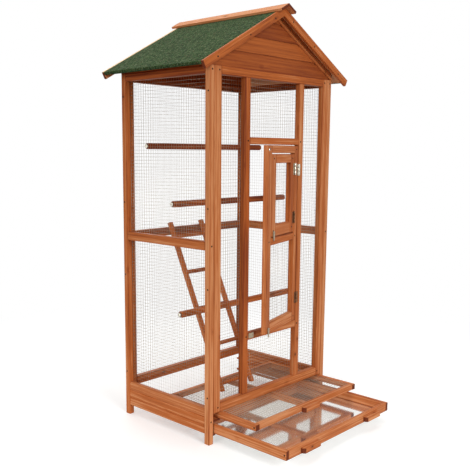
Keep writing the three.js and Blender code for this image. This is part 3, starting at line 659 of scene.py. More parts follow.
class Timber(Piece):
    """A wooden piece. Each board keeps its own grain, drawn about a pith beside it."""

    # The stain layer holds the board's tone, partly painted shade and light, with its warmth and calm
    LAYERS = ("grain", "section", "half", "stain")
    END_GRAIN = 1
    # The pith's distance, the length of the log, and how much the boards' stains vary
    PITH = (0.03, 0.10)
    LOG = 40
    TONE_SPREAD = 0.22
    WARMTH = (0.1, 0.6)
    WARMTH_OF_TONE = 0.7

    def __init__(self, node, place=HERE):
        super().__init__(f"{node}_wood", ["pine", "pine_end"], place)
        self.node = node
        self.tone = TONES[node]
        self.draw = random.Random(self.name)
        for name in self.LAYERS:
            self.mesh.verts.layers.float_vector.new(name)
        self.layers = [self.mesh.verts.layers.float_vector[name] for name in self.LAYERS]

    def board(self, outline, length, place=HERE, cuts=(), inset=None, run=None):
        """A board drawn out along X, and trimmed by cuts of (point, normal of what is cut off)"""
        inset = timber().end_ease if inset is None else inset
        pith = self.draw.uniform(*self.PITH)
        turn = self.draw.uniform(0, math.tau)
        start = Vector((self.draw.uniform(0, self.LOG), pith * math.cos(turn), pith * math.sin(turn)))
        tone = self.tone + self.draw.uniform(-self.TONE_SPREAD, self.TONE_SPREAD)
        warmth = self.draw.uniform(*self.WARMTH) - tone * self.WARMTH_OF_TONE
        corner = Vector((length, max(point.x for point in outline), max(point.y for point in outline)))
        # The board's tone: partly its stain, and partly painted shade and light, as set in TONES
        stain = Vector((tone, min(max(warmth, 0), 1), max(corner.yz) > WIDE_BOARD))
        vertices = self.bar(outline, length, HERE, inset, run)
        for vertex in vertices:
            values = (vertex.co + start, vertex.co - corner / 2, corner / 2, stain)
            for layer, value in zip(self.layers, values):
                vertex[layer] = value
        for end in (vertices[0], vertices[-1]):
            cap = max(end.link_faces, key=lambda face: len(face.verts))
            cap.material_index = self.END_GRAIN
        self.settle(vertices, place)
        for point, normal in cuts:
            vertices = self.trim(vertices, point, normal)

    def trim(self, vertices, point, normal):
        """Cuts off what lies beyond a plane, and closes the cut with end grain"""
        edges = dict.fromkeys(edge for vertex in vertices for edge in vertex.link_edges)
        faces = dict.fromkeys(face for vertex in vertices for face in vertex.link_faces)
        geometry = [*vertices, *edges, *faces]
        cut = bmesh.ops.bisect_plane(
            self.mesh, geom=geometry, plane_co=point, plane_no=normal, clear_outer=True
        )["geom_cut"]
        rim = [part for part in cut if isinstance(part, bmesh.types.BMEdge)]
        for cap in bmesh.ops.contextual_create(self.mesh, geom=rim)["faces"] if rim else ():
            cap.material_index = self.END_GRAIN
            cap.normal_update()
            if cap.normal.dot(normal) < 0:
                cap.normal_flip()
        left = [vertex for vertex in vertices if vertex.is_valid]
        new = [part for part in cut if isinstance(part, bmesh.types.BMVert)]
        return list(dict.fromkeys([*left, *new]))

    def batten(self, low, high, axis, within=HERE, ease=None, steps=3, **settings):
        """A board that fills the space between two corners and runs along an axis"""
        ease = timber().ease if ease is None else ease
        length, width, height = (high[part] - low[part] for part in ORDERS[axis])
        self.board(rounded(width, height, ease, steps), length, within @ along(axis, low), **settings)

    def on_slope(self, side, down, depth, out, axis, cuts=(), **settings):
        """A batten between places down a slope, along the ridge and outwards, mitred at the ridge"""
        near, far = sorted(side * place for place in depth)
        corners = [(down[0], near, out[0]), (down[1], far, out[1])]
        mitre = (Vector((0, 0, RIDGE)), Vector((-side, 0, 0)))
        self.batten(*corners, axis, slope(side), cuts=[mitre, *cuts], **settings)

    def fit(self, body="frame"):
        """The finished wood, in place of its solid"""
        self.finish(body, "pine", self.node)


def fit_batten(node, axis, body="frame", place=HERE):
    """One batten that fills the place of its solid"""
    piece = Timber(node, place)
    piece.batten(*span(node, place), axis)
    piece.fit(body)


# Cage
STRAIGHT_BATTENS = {
    "x": (
        "front_top_rail", "front_bottom_rail", "head_rail", "sill_rail",
        "back_top_rail", "back_mid_rail", "back_bottom_rail",
    ),
    "y": (
        "left_top_rail", "left_mid_rail", "right_top_rail", "right_mid_rail",
        "rack_runner_left", "rack_runner_right", "tray_runner_left", "tray_runner_right",
    ),
    "z": (
        "front_left_leg", "front_right_leg", "front_left_stile", "front_right_stile",
        "left_mullion", "right_mullion",
    ),
}


class AVIARY_OT_cage_frame(bpy.types.Operator):
    """Make the legs, stiles, mullions, rails and runners of the cage"""

    bl_idname = "aviary.cage_frame"
    bl_label = "Cage frame"

    def execute(self, context):
        for axis, nodes in STRAIGHT_BATTENS.items():
            for node in nodes:
                fit_batten(node, axis)
        for node in ("back_left_leg", "back_right_leg"):
            self.back_leg(node)
        return {"FINISHED"}

    def back_leg(self, node):
        """A leg with the narrow stile of the back panel beside it"""
        low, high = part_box(node)
        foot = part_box("back_bottom_rail")[0]
        on_left = low.x < 0
        joint = low.x + LEG_WIDTH if on_left else high.x - LEG_WIDTH
        leg, stile = (low.x, joint), (joint, high.x)
        if not on_left:
            leg, stile = stile, leg
        piece = Timber(node)
        piece.batten((leg[0], low.y, low.z), (leg[1], high.y, high.z), "z")
        piece.batten((stile[0], foot.y, foot.z), (stile[1], high.y, high.z), "z")
        piece.fit()


class AVIARY_OT_base_boards(bpy.types.Operator):
    """Make the base boards of the sides, each of three grooved planks"""

    bl_idname = "aviary.base_boards"
    bl_label = "Base boards"
    PLANKS = 3
    GROOVE = 0.003

    def execute(self, context):
        for node in ("left_base_board", "right_base_board"):
            low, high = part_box(node)
            plank = (high.z - low.z) / self.PLANKS
            piece = Timber(node)
            for index in range(self.PLANKS):
                foot = low.z + index * plank
                corners = [(low.x, low.y, foot), (high.x, high.y, foot + plank)]
                piece.batten(*corners, "y", ease=self.GROOVE, steps=1)
            piece.fit()
        return {"FINISHED"}


# Gables and roof
class AVIARY_OT_gables(bpy.types.Operator):
    """Make both gables: shiplap boards cut to the slope, behind trims along the slope"""

    bl_idname = "aviary.gables"
    bl_label = "Gables"
    BOARD = 0.058
    SETBACK = 0.006
    THICKNESS = 0.012
    STEP = 0.003
    REBATE = 0.006
    TRIM_WIDTH = 0.024
    TRIM_THICKNESS = 0.007
    TRIM_EASE = 0.0012
    BOARD_TONES = (-0.2, 0.55, -0.3, 0.0)
    TRIM_TONE = 1.1

    def execute(self, context):
        middle = at(0, (FRONT + BACK) / 2, 0)
        turned = middle @ Matrix.Rotation(math.pi, 4, "Z") @ middle.inverted()
        self.gable("front_gable", HERE)
        self.gable("back_gable", turned)
        return {"FINISHED"}

    def gable(self, node, place):
        peak = Vector((0, 0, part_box(node)[1].z))
        slopes = [(peak, slope(side).to_3x3() @ UP) for side in (-1, 1)]
        piece = Timber(node, place)
        for index in range(roof().cladding_count):
            foot = (LEFT, FRONT + self.SETBACK, CAGE_TOP + index * self.BOARD)
            piece.tone = TONES[node] + self.BOARD_TONES[index % len(self.BOARD_TONES)]
            piece.board(self.shiplap(), RIGHT - LEFT, along("x", foot), cuts=slopes)
        piece.tone = TONES[node] + self.TRIM_TONE
        for side in (-1, 1):
            self.trim(piece, side, peak.z)
        piece.fit()

    def shiplap(self):
        """The section of a shiplap board: its upper edge is rebated behind the board above"""
        ease = timber().end_ease
        top = self.BOARD - self.REBATE
        points = [
            (ease, 0), (self.THICKNESS, 0), (self.THICKNESS, self.BOARD), (self.STEP, self.BOARD),
            (self.STEP, top), (ease, top), (0, top - ease * 2), (0, ease),
        ]
        return [Vector(point) for point in points]

    def trim(self, piece, side, peak):
        """A trim along one slope, mitred at the peak and cut level with the foot of the gable"""
        under = (peak - RIDGE) * math.cos(roof().pitch)
        end = (RIGHT - LEFT) / 2 / math.cos(roof().pitch) + self.TRIM_WIDTH
        depth = (FRONT, FRONT + self.TRIM_THICKNESS)
        edge = Vector((side * RIGHT, 0, 0))
        cuts = [(Vector((0, 0, CAGE_TOP)), -UP), (edge, edge.normalized())]
        out = (under - self.TRIM_WIDTH, under)
        piece.on_slope(side, (-self.TRIM_WIDTH, end), depth, out, "x", cuts, ease=self.TRIM_EASE)


class AVIARY_OT_roof_boards(bpy.types.Operator):
    """Make the planks under the felt, which run along the ridge"""

    bl_idname = "aviary.roof_boards"
    bl_label = "Roof boards"
    EASE = 0.0009

    def execute(self, context):
        for side, node in ((-1, "roof_board_left"), (1, "roof_board_right")):
            low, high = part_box(node)
            edge = max(-low.x, high.x) / math.cos(roof().pitch)
            under_ridge = RIDGE - low.z - edge * math.sin(roof().pitch)
            thickness = under_ridge / math.cos(roof().pitch)
            plank = edge / roof().plank_count
            piece = Timber(node)
            for index in range(roof().plank_count):
                down = (index * plank if index else -thickness, (index + 1) * plank)
                out = (-thickness, 0)
                piece.on_slope(side, down, (low.y, high.y), out, "y", ease=self.EASE, steps=1)
            piece.fit()
        return {"FINISHED"}


class AVIARY_OT_roof_felt(bpy.types.Operator):
    """Make the felt: one sheet over the ridge, turned down over both eaves"""

    bl_idname = "aviary.roof_felt"
    bl_label = "Roof felt"
    LIP = 0.010
    FOLD = 0.0018
    FOLD_STEPS = 4
    SLOPE_STEPS = 30
    STEP = 0.016
    RIPPLE = 0.0003
    RIPPLES_IN_A_METRE = 14
    RIPPLE_SLICE = 3

    def execute(self, context):
        low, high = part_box("roof_felt")
        thickness = roof().felt_thickness
        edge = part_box("roof_board_right")[1].x / math.cos(roof().pitch)
        over = self.profile(edge + SEAT + thickness, SEAT + thickness, self.FOLD)
        under = self.profile(edge + SEAT, SEAT, self.FOLD / 4)
        piece = Piece("roof_felt_sheet", ["felt"])
        rows = []
        last = round((high.y - low.y) / self.STEP)
        for row in range(last + 1):
            y = low.y + (high.y - low.y) * row / last
            rows.append([self.vertex(piece, point, y) for point in [*over, *reversed(under)]])
        self.skin(piece, rows, len(over))
        piece.finish("frame", "felt", "roof_felt")
        return {"FINISHED"}

    def profile(self, outside, height, fold):
        """The sheet's section at one height, from the left lip over the ridge to the right lip"""
        last = outside - fold
        half = [(-height * math.tan(roof().pitch), height)]
        half += [(last * step / self.SLOPE_STEPS, height) for step in range(1, self.SLOPE_STEPS + 1)]
        for step in range(1, self.FOLD_STEPS + 1):
            angle = QUARTER * step / self.FOLD_STEPS
            half.append((last + fold * math.sin(angle), height - fold + fold * math.cos(angle)))
        half.append((outside, -self.LIP))
        left = [slope(-1) @ Vector((down, 0, out)) for down, out in reversed(half)]
        return left + [slope(1) @ Vector((down, 0, out)) for down, out in half[1:]]

    def vertex(self, piece, point, y):
        """A vertex of the felt, sunk a little where the sheet lies in a shallow ripple"""
        scale = self.RIPPLES_IN_A_METRE
        wave = noise.noise(Vector((point.x * scale, y * scale, self.RIPPLE_SLICE)))
        return piece.mesh.verts.new((point.x, y, point.z - self.RIPPLE * (0.5 + 0.5 * wave)))

    def skin(self, piece, rows, outer_count):
        count = len(rows[0])
        for near, far in zip(rows, rows[1:]):
            for index in range(count):
                after = (index + 1) % count
                piece.mesh.faces.new((near[index], near[after], far[after], far[index])).smooth = True
        for row, flip in ((rows[0], True), (rows[-1], False)):
            for index in range(outer_count - 1):
                quad = [row[index], row[index + 1], row[count - 2 - index], row[count - 1 - index]]
                piece.mesh.faces.new(list(reversed(quad)) if flip else quad)


class AVIARY_OT_bargeboards(bpy.types.Operator):
    """Make the bargeboards at both ends of the roof and the two boards of the ridge cap"""

    bl_idname = "aviary.bargeboards"
    bl_label = "Bargeboards and ridge cap"
    BARGE_WIDTH = 0.028
    CAP_WIDTH = 0.044
    CAP_THICKNESS = 0.009
    CAP_EASE = 0.0015

    def execute(self, context):
        felt_top = SEAT + roof().felt_thickness
        for node in ("front_bargeboards", "back_bargeboards"):
            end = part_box(node)[1].x / math.cos(roof().pitch) - felt_top * math.tan(roof().pitch)
            out = (felt_top - self.BARGE_WIDTH, felt_top)
            self.pair(node, (-self.BARGE_WIDTH, end), out, "x")
        under = felt_top + SEAT
        down = (-2 * self.CAP_THICKNESS, self.CAP_WIDTH)
        self.pair("ridge_cap", down, (under, under + self.CAP_THICKNESS), "y", ease=self.CAP_EASE)
        return {"FINISHED"}

    def pair(self, node, down, out, axis, **settings):
        """Two boards that meet at the ridge"""
        low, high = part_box(node)
        piece = Timber(node)
        for side in (-1, 1):
            piece.on_slope(side, down, (low.y, high.y), out, axis, **settings)
        piece.fit()


# Inside the cage
PERCHES = ("high_perch", "middle_perch", "low_perch")


class AVIARY_OT_perches(bpy.types.Operator):
    """Make the three chamfered perches"""

    bl_idname = "aviary.perches"
    bl_label = "Perches"
    CHAMFER = 0.006
    END_BEVEL = 0.007
    END_INSET = 0.003

    def execute(self, context):
        for node in PERCHES:
            piece = Timber(node)
            ends = {"inset": self.END_INSET, "run": self.END_BEVEL}
            piece.batten(*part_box(node), "x", ease=self.CHAMFER, steps=2, **ends)
            piece.fit()
        return {"FINISHED"}


class AVIARY_OT_ladder(bpy.types.Operator):
    """Make the ladder that leans on the back middle rail"""

    bl_idname = "aviary.ladder"
    bl_label = "Ladder"
    RAIL_WIDTH = 0.020
    RAIL_DEPTH = 0.014
    RUNG_HEIGHT = 0.016
    RUNG_DEPTH = 0.010
    FIRST_RUNG = 0.026
    RUNG_PITCH = 0.156
    RUNGS = 5

    def execute(self, context):
        low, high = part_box("ladder")
        rail_low, rail_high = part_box("back_mid_rail")
        width = high.x - low.x
        back = rail_low.y - SEAT - low.y
        rise = rail_high.z - timber().ease - low.z
        lean = math.acos(self.RAIL_DEPTH / math.hypot(back, rise)) - math.atan2(rise, back)
        run = (high.z - low.z - self.RAIL_DEPTH * math.sin(lean)) / math.cos(lean)
        foot = (low.x, low.y + self.RAIL_DEPTH / math.cos(lean), low.z)
        place = Matrix.Translation(foot) @ Matrix.Rotation(-lean, 4, "X")
        ground = (Vector((0, 0, low.z)), -UP)
        piece = Timber("ladder")
        for x in (0, width - self.RAIL_WIDTH):
            corner = (x, -self.RAIL_DEPTH, -self.RAIL_DEPTH)
            piece.batten(corner, (x + self.RAIL_WIDTH, 0, run), "z", place, cuts=[ground])
        inset = (self.RAIL_DEPTH - self.RUNG_DEPTH) / 2
        for rung in range(self.RUNGS):
            z = self.FIRST_RUNG + rung * self.RUNG_PITCH - self.RUNG_HEIGHT / 2
            start = (self.RAIL_WIDTH / 2, inset - self.RAIL_DEPTH, z)
            end = (width - self.RAIL_WIDTH / 2, -inset, z + self.RUNG_HEIGHT)
            piece.batten(start, end, "x", place)
        piece.fit()
        return {"FINISHED"}


# Wire rack and litter tray
HANDLE_LENGTH = 0.098
HANDLE_DEPTH = 0.018
HANDLE_HEIGHT = 0.018
HANDLE_BEVEL = 0.007
HANDLE_EASE = 0.0016


def add_handle(piece, x, front, z):
    """A pull handle on a front board: a block with bevelled ends"""
    half = HANDLE_LENGTH / 2
    cuts = []
    for side in (-1, 1):
        corner = Vector((x + side * half, front - HANDLE_DEPTH / 2, z))
        cuts.append((corner, Vector((side * HANDLE_DEPTH / 2, -HANDLE_BEVEL, 0)).normalized()))
    corners = [(x - half, front - HANDLE_DEPTH, z), (x + half, front, z + HANDLE_HEIGHT)]
    piece.batten(*corners, "x", ease=HANDLE_EASE, cuts=cuts)


def add_ring(piece, low, high, board):
    """Four boards round an opening: long ones front to back, short ones between them"""
    for x in (low[0], high[0] - board):
        piece.batten((x, low[1], low[2]), (x + board, high[1], high[2]), "y")
    for y in (low[1], high[1] - board):
        piece.batten((low[0] + board, y, low[2]), (high[0] - board, y + board, high[2]), "x")


class AVIARY_OT_wire_rack(bpy.types.Operator):
    """Make the rack's frame with its cross bar and pull handle"""

    bl_idname = "aviary.wire_rack"
    bl_label = "Wire rack"

    def execute(self, context):
        low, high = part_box("rack_frame")
        net_low, net_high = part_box("rack_net")
        bar = net_low.x - low.x
        front = net_low.y - bar
        middle = (low.x + high.x) / 2
        piece = Timber("rack_frame")
        add_ring(piece, (low.x, front, low.z), high, bar)
        corner = (middle - bar / 2, net_low.y, low.z)
        piece.batten(corner, (middle + bar / 2, net_high.y, net_low.z), "y")
        add_handle(piece, middle, front, low.z)
        piece.fit("wire_rack")
        return {"FINISHED"}


class AVIARY_OT_litter_tray(bpy.types.Operator):
    """Make the litter tray: boards round a thin bright sheet, with two pull handles"""

    bl_idname = "aviary.litter_tray"
    bl_label = "Litter tray"
    BOARD = 0.014
    HANDLE_SPACING = 0.390
    HANDLE_LIFT = 0.004
    SHEET_CORNER = 0.002

    def execute(self, context):
        low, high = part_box("tray_frame")
        sheet_low, sheet_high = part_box("tray_sheet")
        piece = Timber("tray_frame")
        add_ring(piece, (low.x, sheet_low.y, low.z), high, self.BOARD)
        for side in (-1, 1):
            x = (low.x + high.x) / 2 + side * self.HANDLE_SPACING / 2
            add_handle(piece, x, sheet_low.y, low.z + self.HANDLE_LIFT)
        piece.fit("litter_tray")
        sheet = Piece("tray_sheet_metal", ["sheet"], Matrix.Translation(sheet_low))
        size = sheet_high - sheet_low
        sheet.plate(rounded(size.x, size.y, self.SHEET_CORNER), size.z)
        sheet.finish("litter_tray", "sheet", "tray_sheet")
        return {"FINISHED"}


# Doors
DOOR_RAILS = ("door_top_rail", "door_mid_rail", "door_bottom_rail")


class AVIARY_OT_main_door(bpy.types.Operator):
    """Make the main door's stiles and rails"""

    bl_idname = "aviary.main_door"
    bl_label = "Main door"

    def execute(self, context):
        for node in DOOR_RAILS:
            fit_batten(node, "x", "main_door", MAIN_DOOR)
        fit_batten("door_free_stile", "z", "main_door", MAIN_DOOR)
        low, high = span("door_free_stile", MAIN_DOOR)
        corner = Vector((span("door_top_rail", MAIN_DOOR)[1].x + SEAT, low.y, low.z))
        piece = Timber("door_hinge_stile", MAIN_DOOR)
        piece.batten(corner, corner + high - low, "z")
        piece.fit("main_door")
        return {"FINISHED"}


class AVIARY_OT_small_door(bpy.types.Operator):
    """Make the small door's frame in the main door's upper half"""

    bl_idname = "aviary.small_door"
    bl_label = "Small door"
    # Painted shade: the hinge stile is darker, standing in for the shade on its jamb while the door stands
    # ajar
    HINGE_STILE_PAINTED_SHADE = -1.1

    def execute(self, context):
        low, high = small_door_span()
        window_low, window_high = small_window()
        piece = Timber("small_door_frame", SMALL_DOOR)
        piece.batten(low, (window_low.x, high.y, high.z), "z")
        for bottom, top in ((low.z, window_low.z), (window_high.z, high.z)):
            piece.batten((window_low.x, low.y, bottom), (window_high.x, high.y, top), "x")
        # The hinge stile takes the darker tone of painted shade
        piece.tone = self.HINGE_STILE_PAINTED_SHADE
        piece.batten((window_high.x, low.y, low.z), high, "z")
        piece.fit("small_door")
        return {"FINISHED"}


def small_window():
    """The opening in the small door, in its own frame: its net laps behind the wood round it"""
    low, high = span("small_door_net", SMALL_DOOR)
    lap = Vector((nets().lap, 0, nets().lap))
    return low + lap, high - lap


def small_door_span():
    """The small door's wood, in its own frame, without its hinges"""
    low, high = span("small_door_frame", SMALL_DOOR)
    wood_low, wood_high = span("door_top_rail", SMALL_DOOR)
    window_low, window_high = small_window()
    stile = window_low.x - low.x
    return Vector((low.x, wood_low.y, low.z)), Vector((window_high.x + stile, wood_high.y, high.z))


# Hinges and latches
SCREW_SHARES = (0.2, 0.8)


class AVIARY_OT_hinges(bpy.types.Operator):
    """Make the butt hinges of both doors: plates, knuckles, pins and screws"""

    bl_idname = "aviary.hinges"
    bl_label = "Hinges"
    # The finishes of the knuckles, the screws' crosses and the leaves. The crosses are dark as painted
    # shade, and the plated leaves are darker than their knuckles as a painted dark reflection.
    PLATED = ["plate", "nail", "leaf"]
    TARNISHED = ["tarnish", "nail", "tarnish"]
    LEAF_FINISH = 2
    HEIGHT = 0.044
    REACH = 0.0135
    PLATE = 0.0015
    CORNER = 0.0018
    TAB_CORNER = 0.0002
    KNUCKLE = 0.0032
    BORE = 0.0019
    PIN = 0.0014
    PROUD = 0.0015
    GAP = 0.0005
    SCREW_RADIUS = 0.0024
    SCREW_RISE = 0.0009
    SMALL_FROM_END = 0.057

    def execute(self, context):
        x, y, _ = JOINTS["main_door_hinge"]["pos_m"]
        on_frame = at(x, y, 0)
        stand_off = span("door_top_rail", MAIN_DOOR)[0].y
        low, high = small_door_span()
        small_heights = {"lower": low.z + self.SMALL_FROM_END, "upper": high.z - self.SMALL_FROM_END}
        for level, metals in (("lower", self.TARNISHED), ("upper", self.PLATED)):
            main, small = f"main_hinge_{level}", f"small_hinge_{level}"
            spot = (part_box(main)[0].z + self.PROUD, stand_off)
            self.leaf(self.pin_leaf, f"{main}_leaf", metals, on_frame, spot, "frame", main)
            self.leaf(self.bored_leaf, f"{main}_door_leaf", metals, MAIN_DOOR, spot, "main_door")
            spot = (small_heights[level] - self.HEIGHT / 2, low.y)
            self.leaf(self.pin_leaf, f"{small}_stile_leaf", metals, SMALL_DOOR, spot, "main_door")
            self.leaf(self.bored_leaf, f"{small}_door_leaf", metals, SMALL_DOOR, spot, "small_door")
        return {"FINISHED"}

    def leaf(self, build, name, metals, place, spot, body, *nodes):
        """A leaf as a piece of its own. Its spot is its height and how far from the pin the wood is."""
        piece = Piece(name, metals, place)
        build(piece, *spot)
        piece.finish(body, "hardware", *nodes)

    def leaf_plate(self, piece, side, height, stand_off):
        """The screwed plate of a leaf, flat on the wood to the right (1) or left (-1) of the pin"""
        start = self.KNUCKLE + self.GAP
        width = self.REACH - start
        face = at(start if side > 0 else -self.REACH, stand_off, height) @ FACE_UP
        piece.plate(rounded(width, self.HEIGHT, self.CORNER), self.PLATE, face, self.LEAF_FINISH)
        for share in SCREW_SHARES:
            head = face @ at(width / 2, self.HEIGHT * share, self.PLATE)
            piece.screw(head, self.SCREW_RADIUS, self.SCREW_RISE)

    def tab(self, piece, side, low, high, stand_off):
        """The bent stretch of a leaf between its plate and a knuckle"""
        width = self.KNUCKLE + 2 * self.GAP
        face = at(0 if side > 0 else -width, stand_off, low) @ FACE_UP
        outline = rounded(width, high - low, self.TAB_CORNER, 1)
        piece.plate(outline, self.PLATE, face, self.LEAF_FINISH)

    def pin_leaf(self, piece, height, stand_off):
        """The leaf that holds the pin in its two outer knuckles"""
        third = self.HEIGHT / 3
        self.leaf_plate(piece, 1, height, stand_off)
        piece.rod(self.PIN, height - self.PROUD, height + self.HEIGHT + self.PROUD)
        for low, high in ((0, third - self.GAP), (2 * third + self.GAP, self.HEIGHT)):
            piece.rod(self.KNUCKLE, height + low, height + high)
            self.tab(piece, 1, height + low, height + high, stand_off)

    def bored_leaf(self, piece, height, stand_off):
        """The leaf whose middle knuckle turns on the pin"""
        third = self.HEIGHT / 3
        self.leaf_plate(piece, -1, height, stand_off)
        piece.tube(self.KNUCKLE, self.BORE, height + third, height + 2 * third)
        self.tab(piece, -1, height + third, height + 2 * third, stand_off)


class AVIARY_OT_latches(bpy.types.Operator):
    """Make the two turn latches, the keeper plate on the sill and the stop screw at the door's top"""

    bl_idname = "aviary.latches"
    bl_label = "Latches"
    ARM = 0.026
    HEAD = 0.007
    TIP = 0.004
    ARC_STEPS = 12
    THICKNESS = 0.002
    BOSS = 0.005
    SCREW_RADIUS = 0.0035
    SCREW_RISE = 0.0016
    KEEPER_WIDTH = 0.028
    KEEPER_HEIGHT = 0.020
    KEEPER_THICKNESS = 0.0012
    KEEPER_CORNER = 0.002
    KEEPER_INSET = 0.0025
    KEEPER_SCREW_RADIUS = 0.0022
    KEEPER_SCREW_RISE = 0.0006
    STOP_INSET = 0.0065
    STOP_DROP = 0.016
    STOP_WASHER = 0.0048
    STOP_RISE = 0.0018

    def execute(self, context):
        for node in ("main_latch", "small_latch"):
            self.latch(node)
        self.keeper()
        self.stop()
        return {"FINISHED"}

    def latch(self, node):
        place = Matrix.Translation(JOINTS[f"{node}_turn"]["pos_m"]) @ AJAR @ FACE_UP
        # The arm takes the darker plating, a painted dark reflection
        piece = Piece(f"{node}_metal", ["leaf", "nail"], place)
        piece.rod(self.BOSS, 0, self.THICKNESS)
        piece.plate(self.arm(), self.THICKNESS, at(0, 0, self.THICKNESS))
        piece.screw(at(0, 0, 2 * self.THICKNESS), self.SCREW_RADIUS, self.SCREW_RISE)
        piece.finish(node, "hardware", node)

    def arm(self):
        """The outline of an arm that hangs down and tapers from its head to its tip"""
        taper = math.asin((self.HEAD - self.TIP) / self.ARM)
        points = []
        for radius, y, start, end in (
            (self.HEAD, 0, -taper, math.pi + taper),
            (self.TIP, -self.ARM, math.pi + taper, math.tau - taper),
        ):
            for step in range(self.ARC_STEPS + 1):
                angle = start + (end - start) * step / self.ARC_STEPS
                points.append(Vector((radius * math.cos(angle), y + radius * math.sin(angle))))
        return points

    def keeper(self):
        """The plate on the sill for the main latch"""
        low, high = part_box("sill_rail")
        corner = (low.x + self.KEEPER_INSET, low.y, high.z - self.KEEPER_HEIGHT - self.KEEPER_INSET)
        # The keeper takes the darker plating, a painted dark reflection
        piece = Piece("latch_keeper", ["leaf", "nail"], Matrix.Translation(corner) @ FACE_UP)
        outline = rounded(self.KEEPER_WIDTH, self.KEEPER_HEIGHT, self.KEEPER_CORNER)
        piece.plate(outline, self.KEEPER_THICKNESS)
        for share in SCREW_SHARES:
            head = (self.KEEPER_WIDTH * share, self.KEEPER_HEIGHT / 2, self.KEEPER_THICKNESS)
            piece.screw(Matrix.Translation(head), self.KEEPER_SCREW_RADIUS, self.KEEPER_SCREW_RISE)
        piece.finish("frame", "hardware")

    def stop(self):
        """The screw at the top of the main door's free stile, on its washer"""
        low, high = span("door_free_stile", MAIN_DOOR)
        place = at(low.x + self.STOP_INSET, low.y, high.z - self.STOP_DROP)
        piece = Piece("door_stop_screw", ["plate", "nail"], MAIN_DOOR @ place @ FACE_UP)
        piece.rod(self.STOP_WASHER, 0, self.KEEPER_THICKNESS)
        head = at(0, 0, self.KEEPER_THICKNESS)
        piece.screw(head, self.SCREW_RADIUS, self.STOP_RISE)
        piece.finish("main_door", "hardware")


# Geometry nodes
def begun(name, **inputs):
    """A tree of geometry nodes with its named inputs, and their sockets"""
    group = bpy.data.node_groups.new(name, "GeometryNodeTree")
    for kind, labels in inputs.items():
        for label in labels:
            group.interface.new_socket(label, in_out="INPUT", socket_type=f"NodeSocket{kind}")
    group.interface.new_socket("Result", in_out="OUTPUT", socket_type="NodeSocketGeometry")
    tree = Tree(group)
    return tree, tree.node("NodeGroupInput").outputs


def ended(tree, instances, finish):
    """The whole tree: its instances are made real and given their finish"""
    real = tree.node("GeometryNodeRealizeInstances", {0: instances})
    coated = tree.node("GeometryNodeSetMaterial", {0: real.outputs[0], "Material": finish})
    tree.node("NodeGroupOutput", {0: coated.outputs[0]})
    return tree.tree


def grown(name, group, inputs, points=None):
    """A plain mesh grown by geometry nodes, from a mesh of points where the tree needs one"""
    piece = added(name, points or bpy.data.meshes.new(name))
    modifier = piece.modifiers.new("Grow", "NODES")
    modifier.node_group = group
    for socket in group.interface.items_tree:
        if socket.in_out == "INPUT" and socket.name in inputs:
            modifier[socket.identifier] = inputs[socket.name]
    evaluated = piece.evaluated_get(bpy.context.evaluated_depsgraph_get())
    mesh = bpy.data.meshes.new_from_object(evaluated)
    piece.modifiers.clear()
    piece.data = mesh
    if not mesh.polygons:
        raise RuntimeError(f"{name}: nothing has grown")
    return piece


# Nets
def net_tree():
    """Geometry nodes for a welded net: upright wires, and level wires laid over them"""
    numbers = ("Width", "Height", "Mesh", "Wire Radius")
    tree, given = begun("Welded Net", Float=numbers, Int=["Wire Sides"], Material=["Finish"])
    radius = Sum(tree, given["Wire Radius"])
    sizes = [Sum(tree, given[name]) for name in ("Width", "Height")]
    joined = tree.node("GeometryNodeJoinGeometry")
    for axis, turn in ((0, (QUARTER, 0, 0)), (1, (0, QUARTER, 0))):
        across, run = sizes[axis], sizes[1 - axis]
        cells = (across / given["Mesh"]).math("ROUND").math("MAXIMUM", 1)
        step = (across - radius * 2) / cells
        places = {axis: radius, 1 - axis: run * 0.5, 2: radius * (1 + 2 * axis)}
        start = tree.node("ShaderNodeCombineXYZ", places).outputs[0]
        offset = tree.node("ShaderNodeCombineXYZ", {axis: step}).outputs[0]
        inputs = {"Count": cells + 1, "Start Location": start, "Offset": offset}
        line = tree.node("GeometryNodeMeshLine", inputs).outputs[0]
        inputs = {"Vertices": given["Wire Sides"], "Radius": radius, "Depth": run}
        wire = tree.node("GeometryNodeMeshCylinder", inputs).outputs[0]
        wire = tree.node("GeometryNodeSetShadeSmooth", {0: wire}).outputs[0]
        inputs = {"Points": line, "Instance": wire, "Rotation": turn}
        tree.feed(joined.inputs[0], tree.node("GeometryNodeInstanceOnPoints", inputs).outputs[0])
    return ended(tree, joined.outputs[0], given["Finish"])


class AVIARY_OT_nets(bpy.types.Operator):
    """Weld the nets of the cage, the doors and the rack"""

    bl_idname = "aviary.nets"
    bl_label = "Nets"
    UPRIGHT = {
        "frame": (
            "back_net", "front_net_left", "front_net_right", "front_net_over_door",
            "front_net_under_door",
        ),
        "main_door": ("door_net",),
        "small_door": ("small_door_net",),
    }
    PLACES = {"frame": HERE, "main_door": MAIN_DOOR, "small_door": SMALL_DOOR}

    def execute(self, context):
        group = net_tree()
        for body, nodes in self.UPRIGHT.items():
            within = self.PLACES[body]
            for node in nodes:
                low, high = span(node, within)
                place = within @ at(low.x, high.y, low.z) @ FACE_UP
                self.weld(group, node, body, place, high.x - low.x, high.z - low.z)
        for node in ("left_net", "right_net"):
            low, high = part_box(node)
            self.weld(group, node, "frame", along("y", low), high.y - low.y, high.z - low.z)
        low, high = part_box("rack_net")
        place, radius = Matrix.Translation(low), nets().rack_wire_radius
        self.weld(group, "rack_net", "wire_rack", place, high.x - low.x, high.y - low.y, radius)
        return {"FINISHED"}

    def weld(self, group, node, body, place, width, height, radius=None):
        inputs = {
            "Width": width, "Height": height, "Mesh": nets().pitch,
            "Wire Radius": radius or nets().wire_radius, "Wire Sides": nets().wire_sides,
            "Finish": material("net"),
        }
        piece = grown(f"{node}_wires", group, inputs)
        piece.data.transform(place)
        dressed(piece, body, "wire", node)


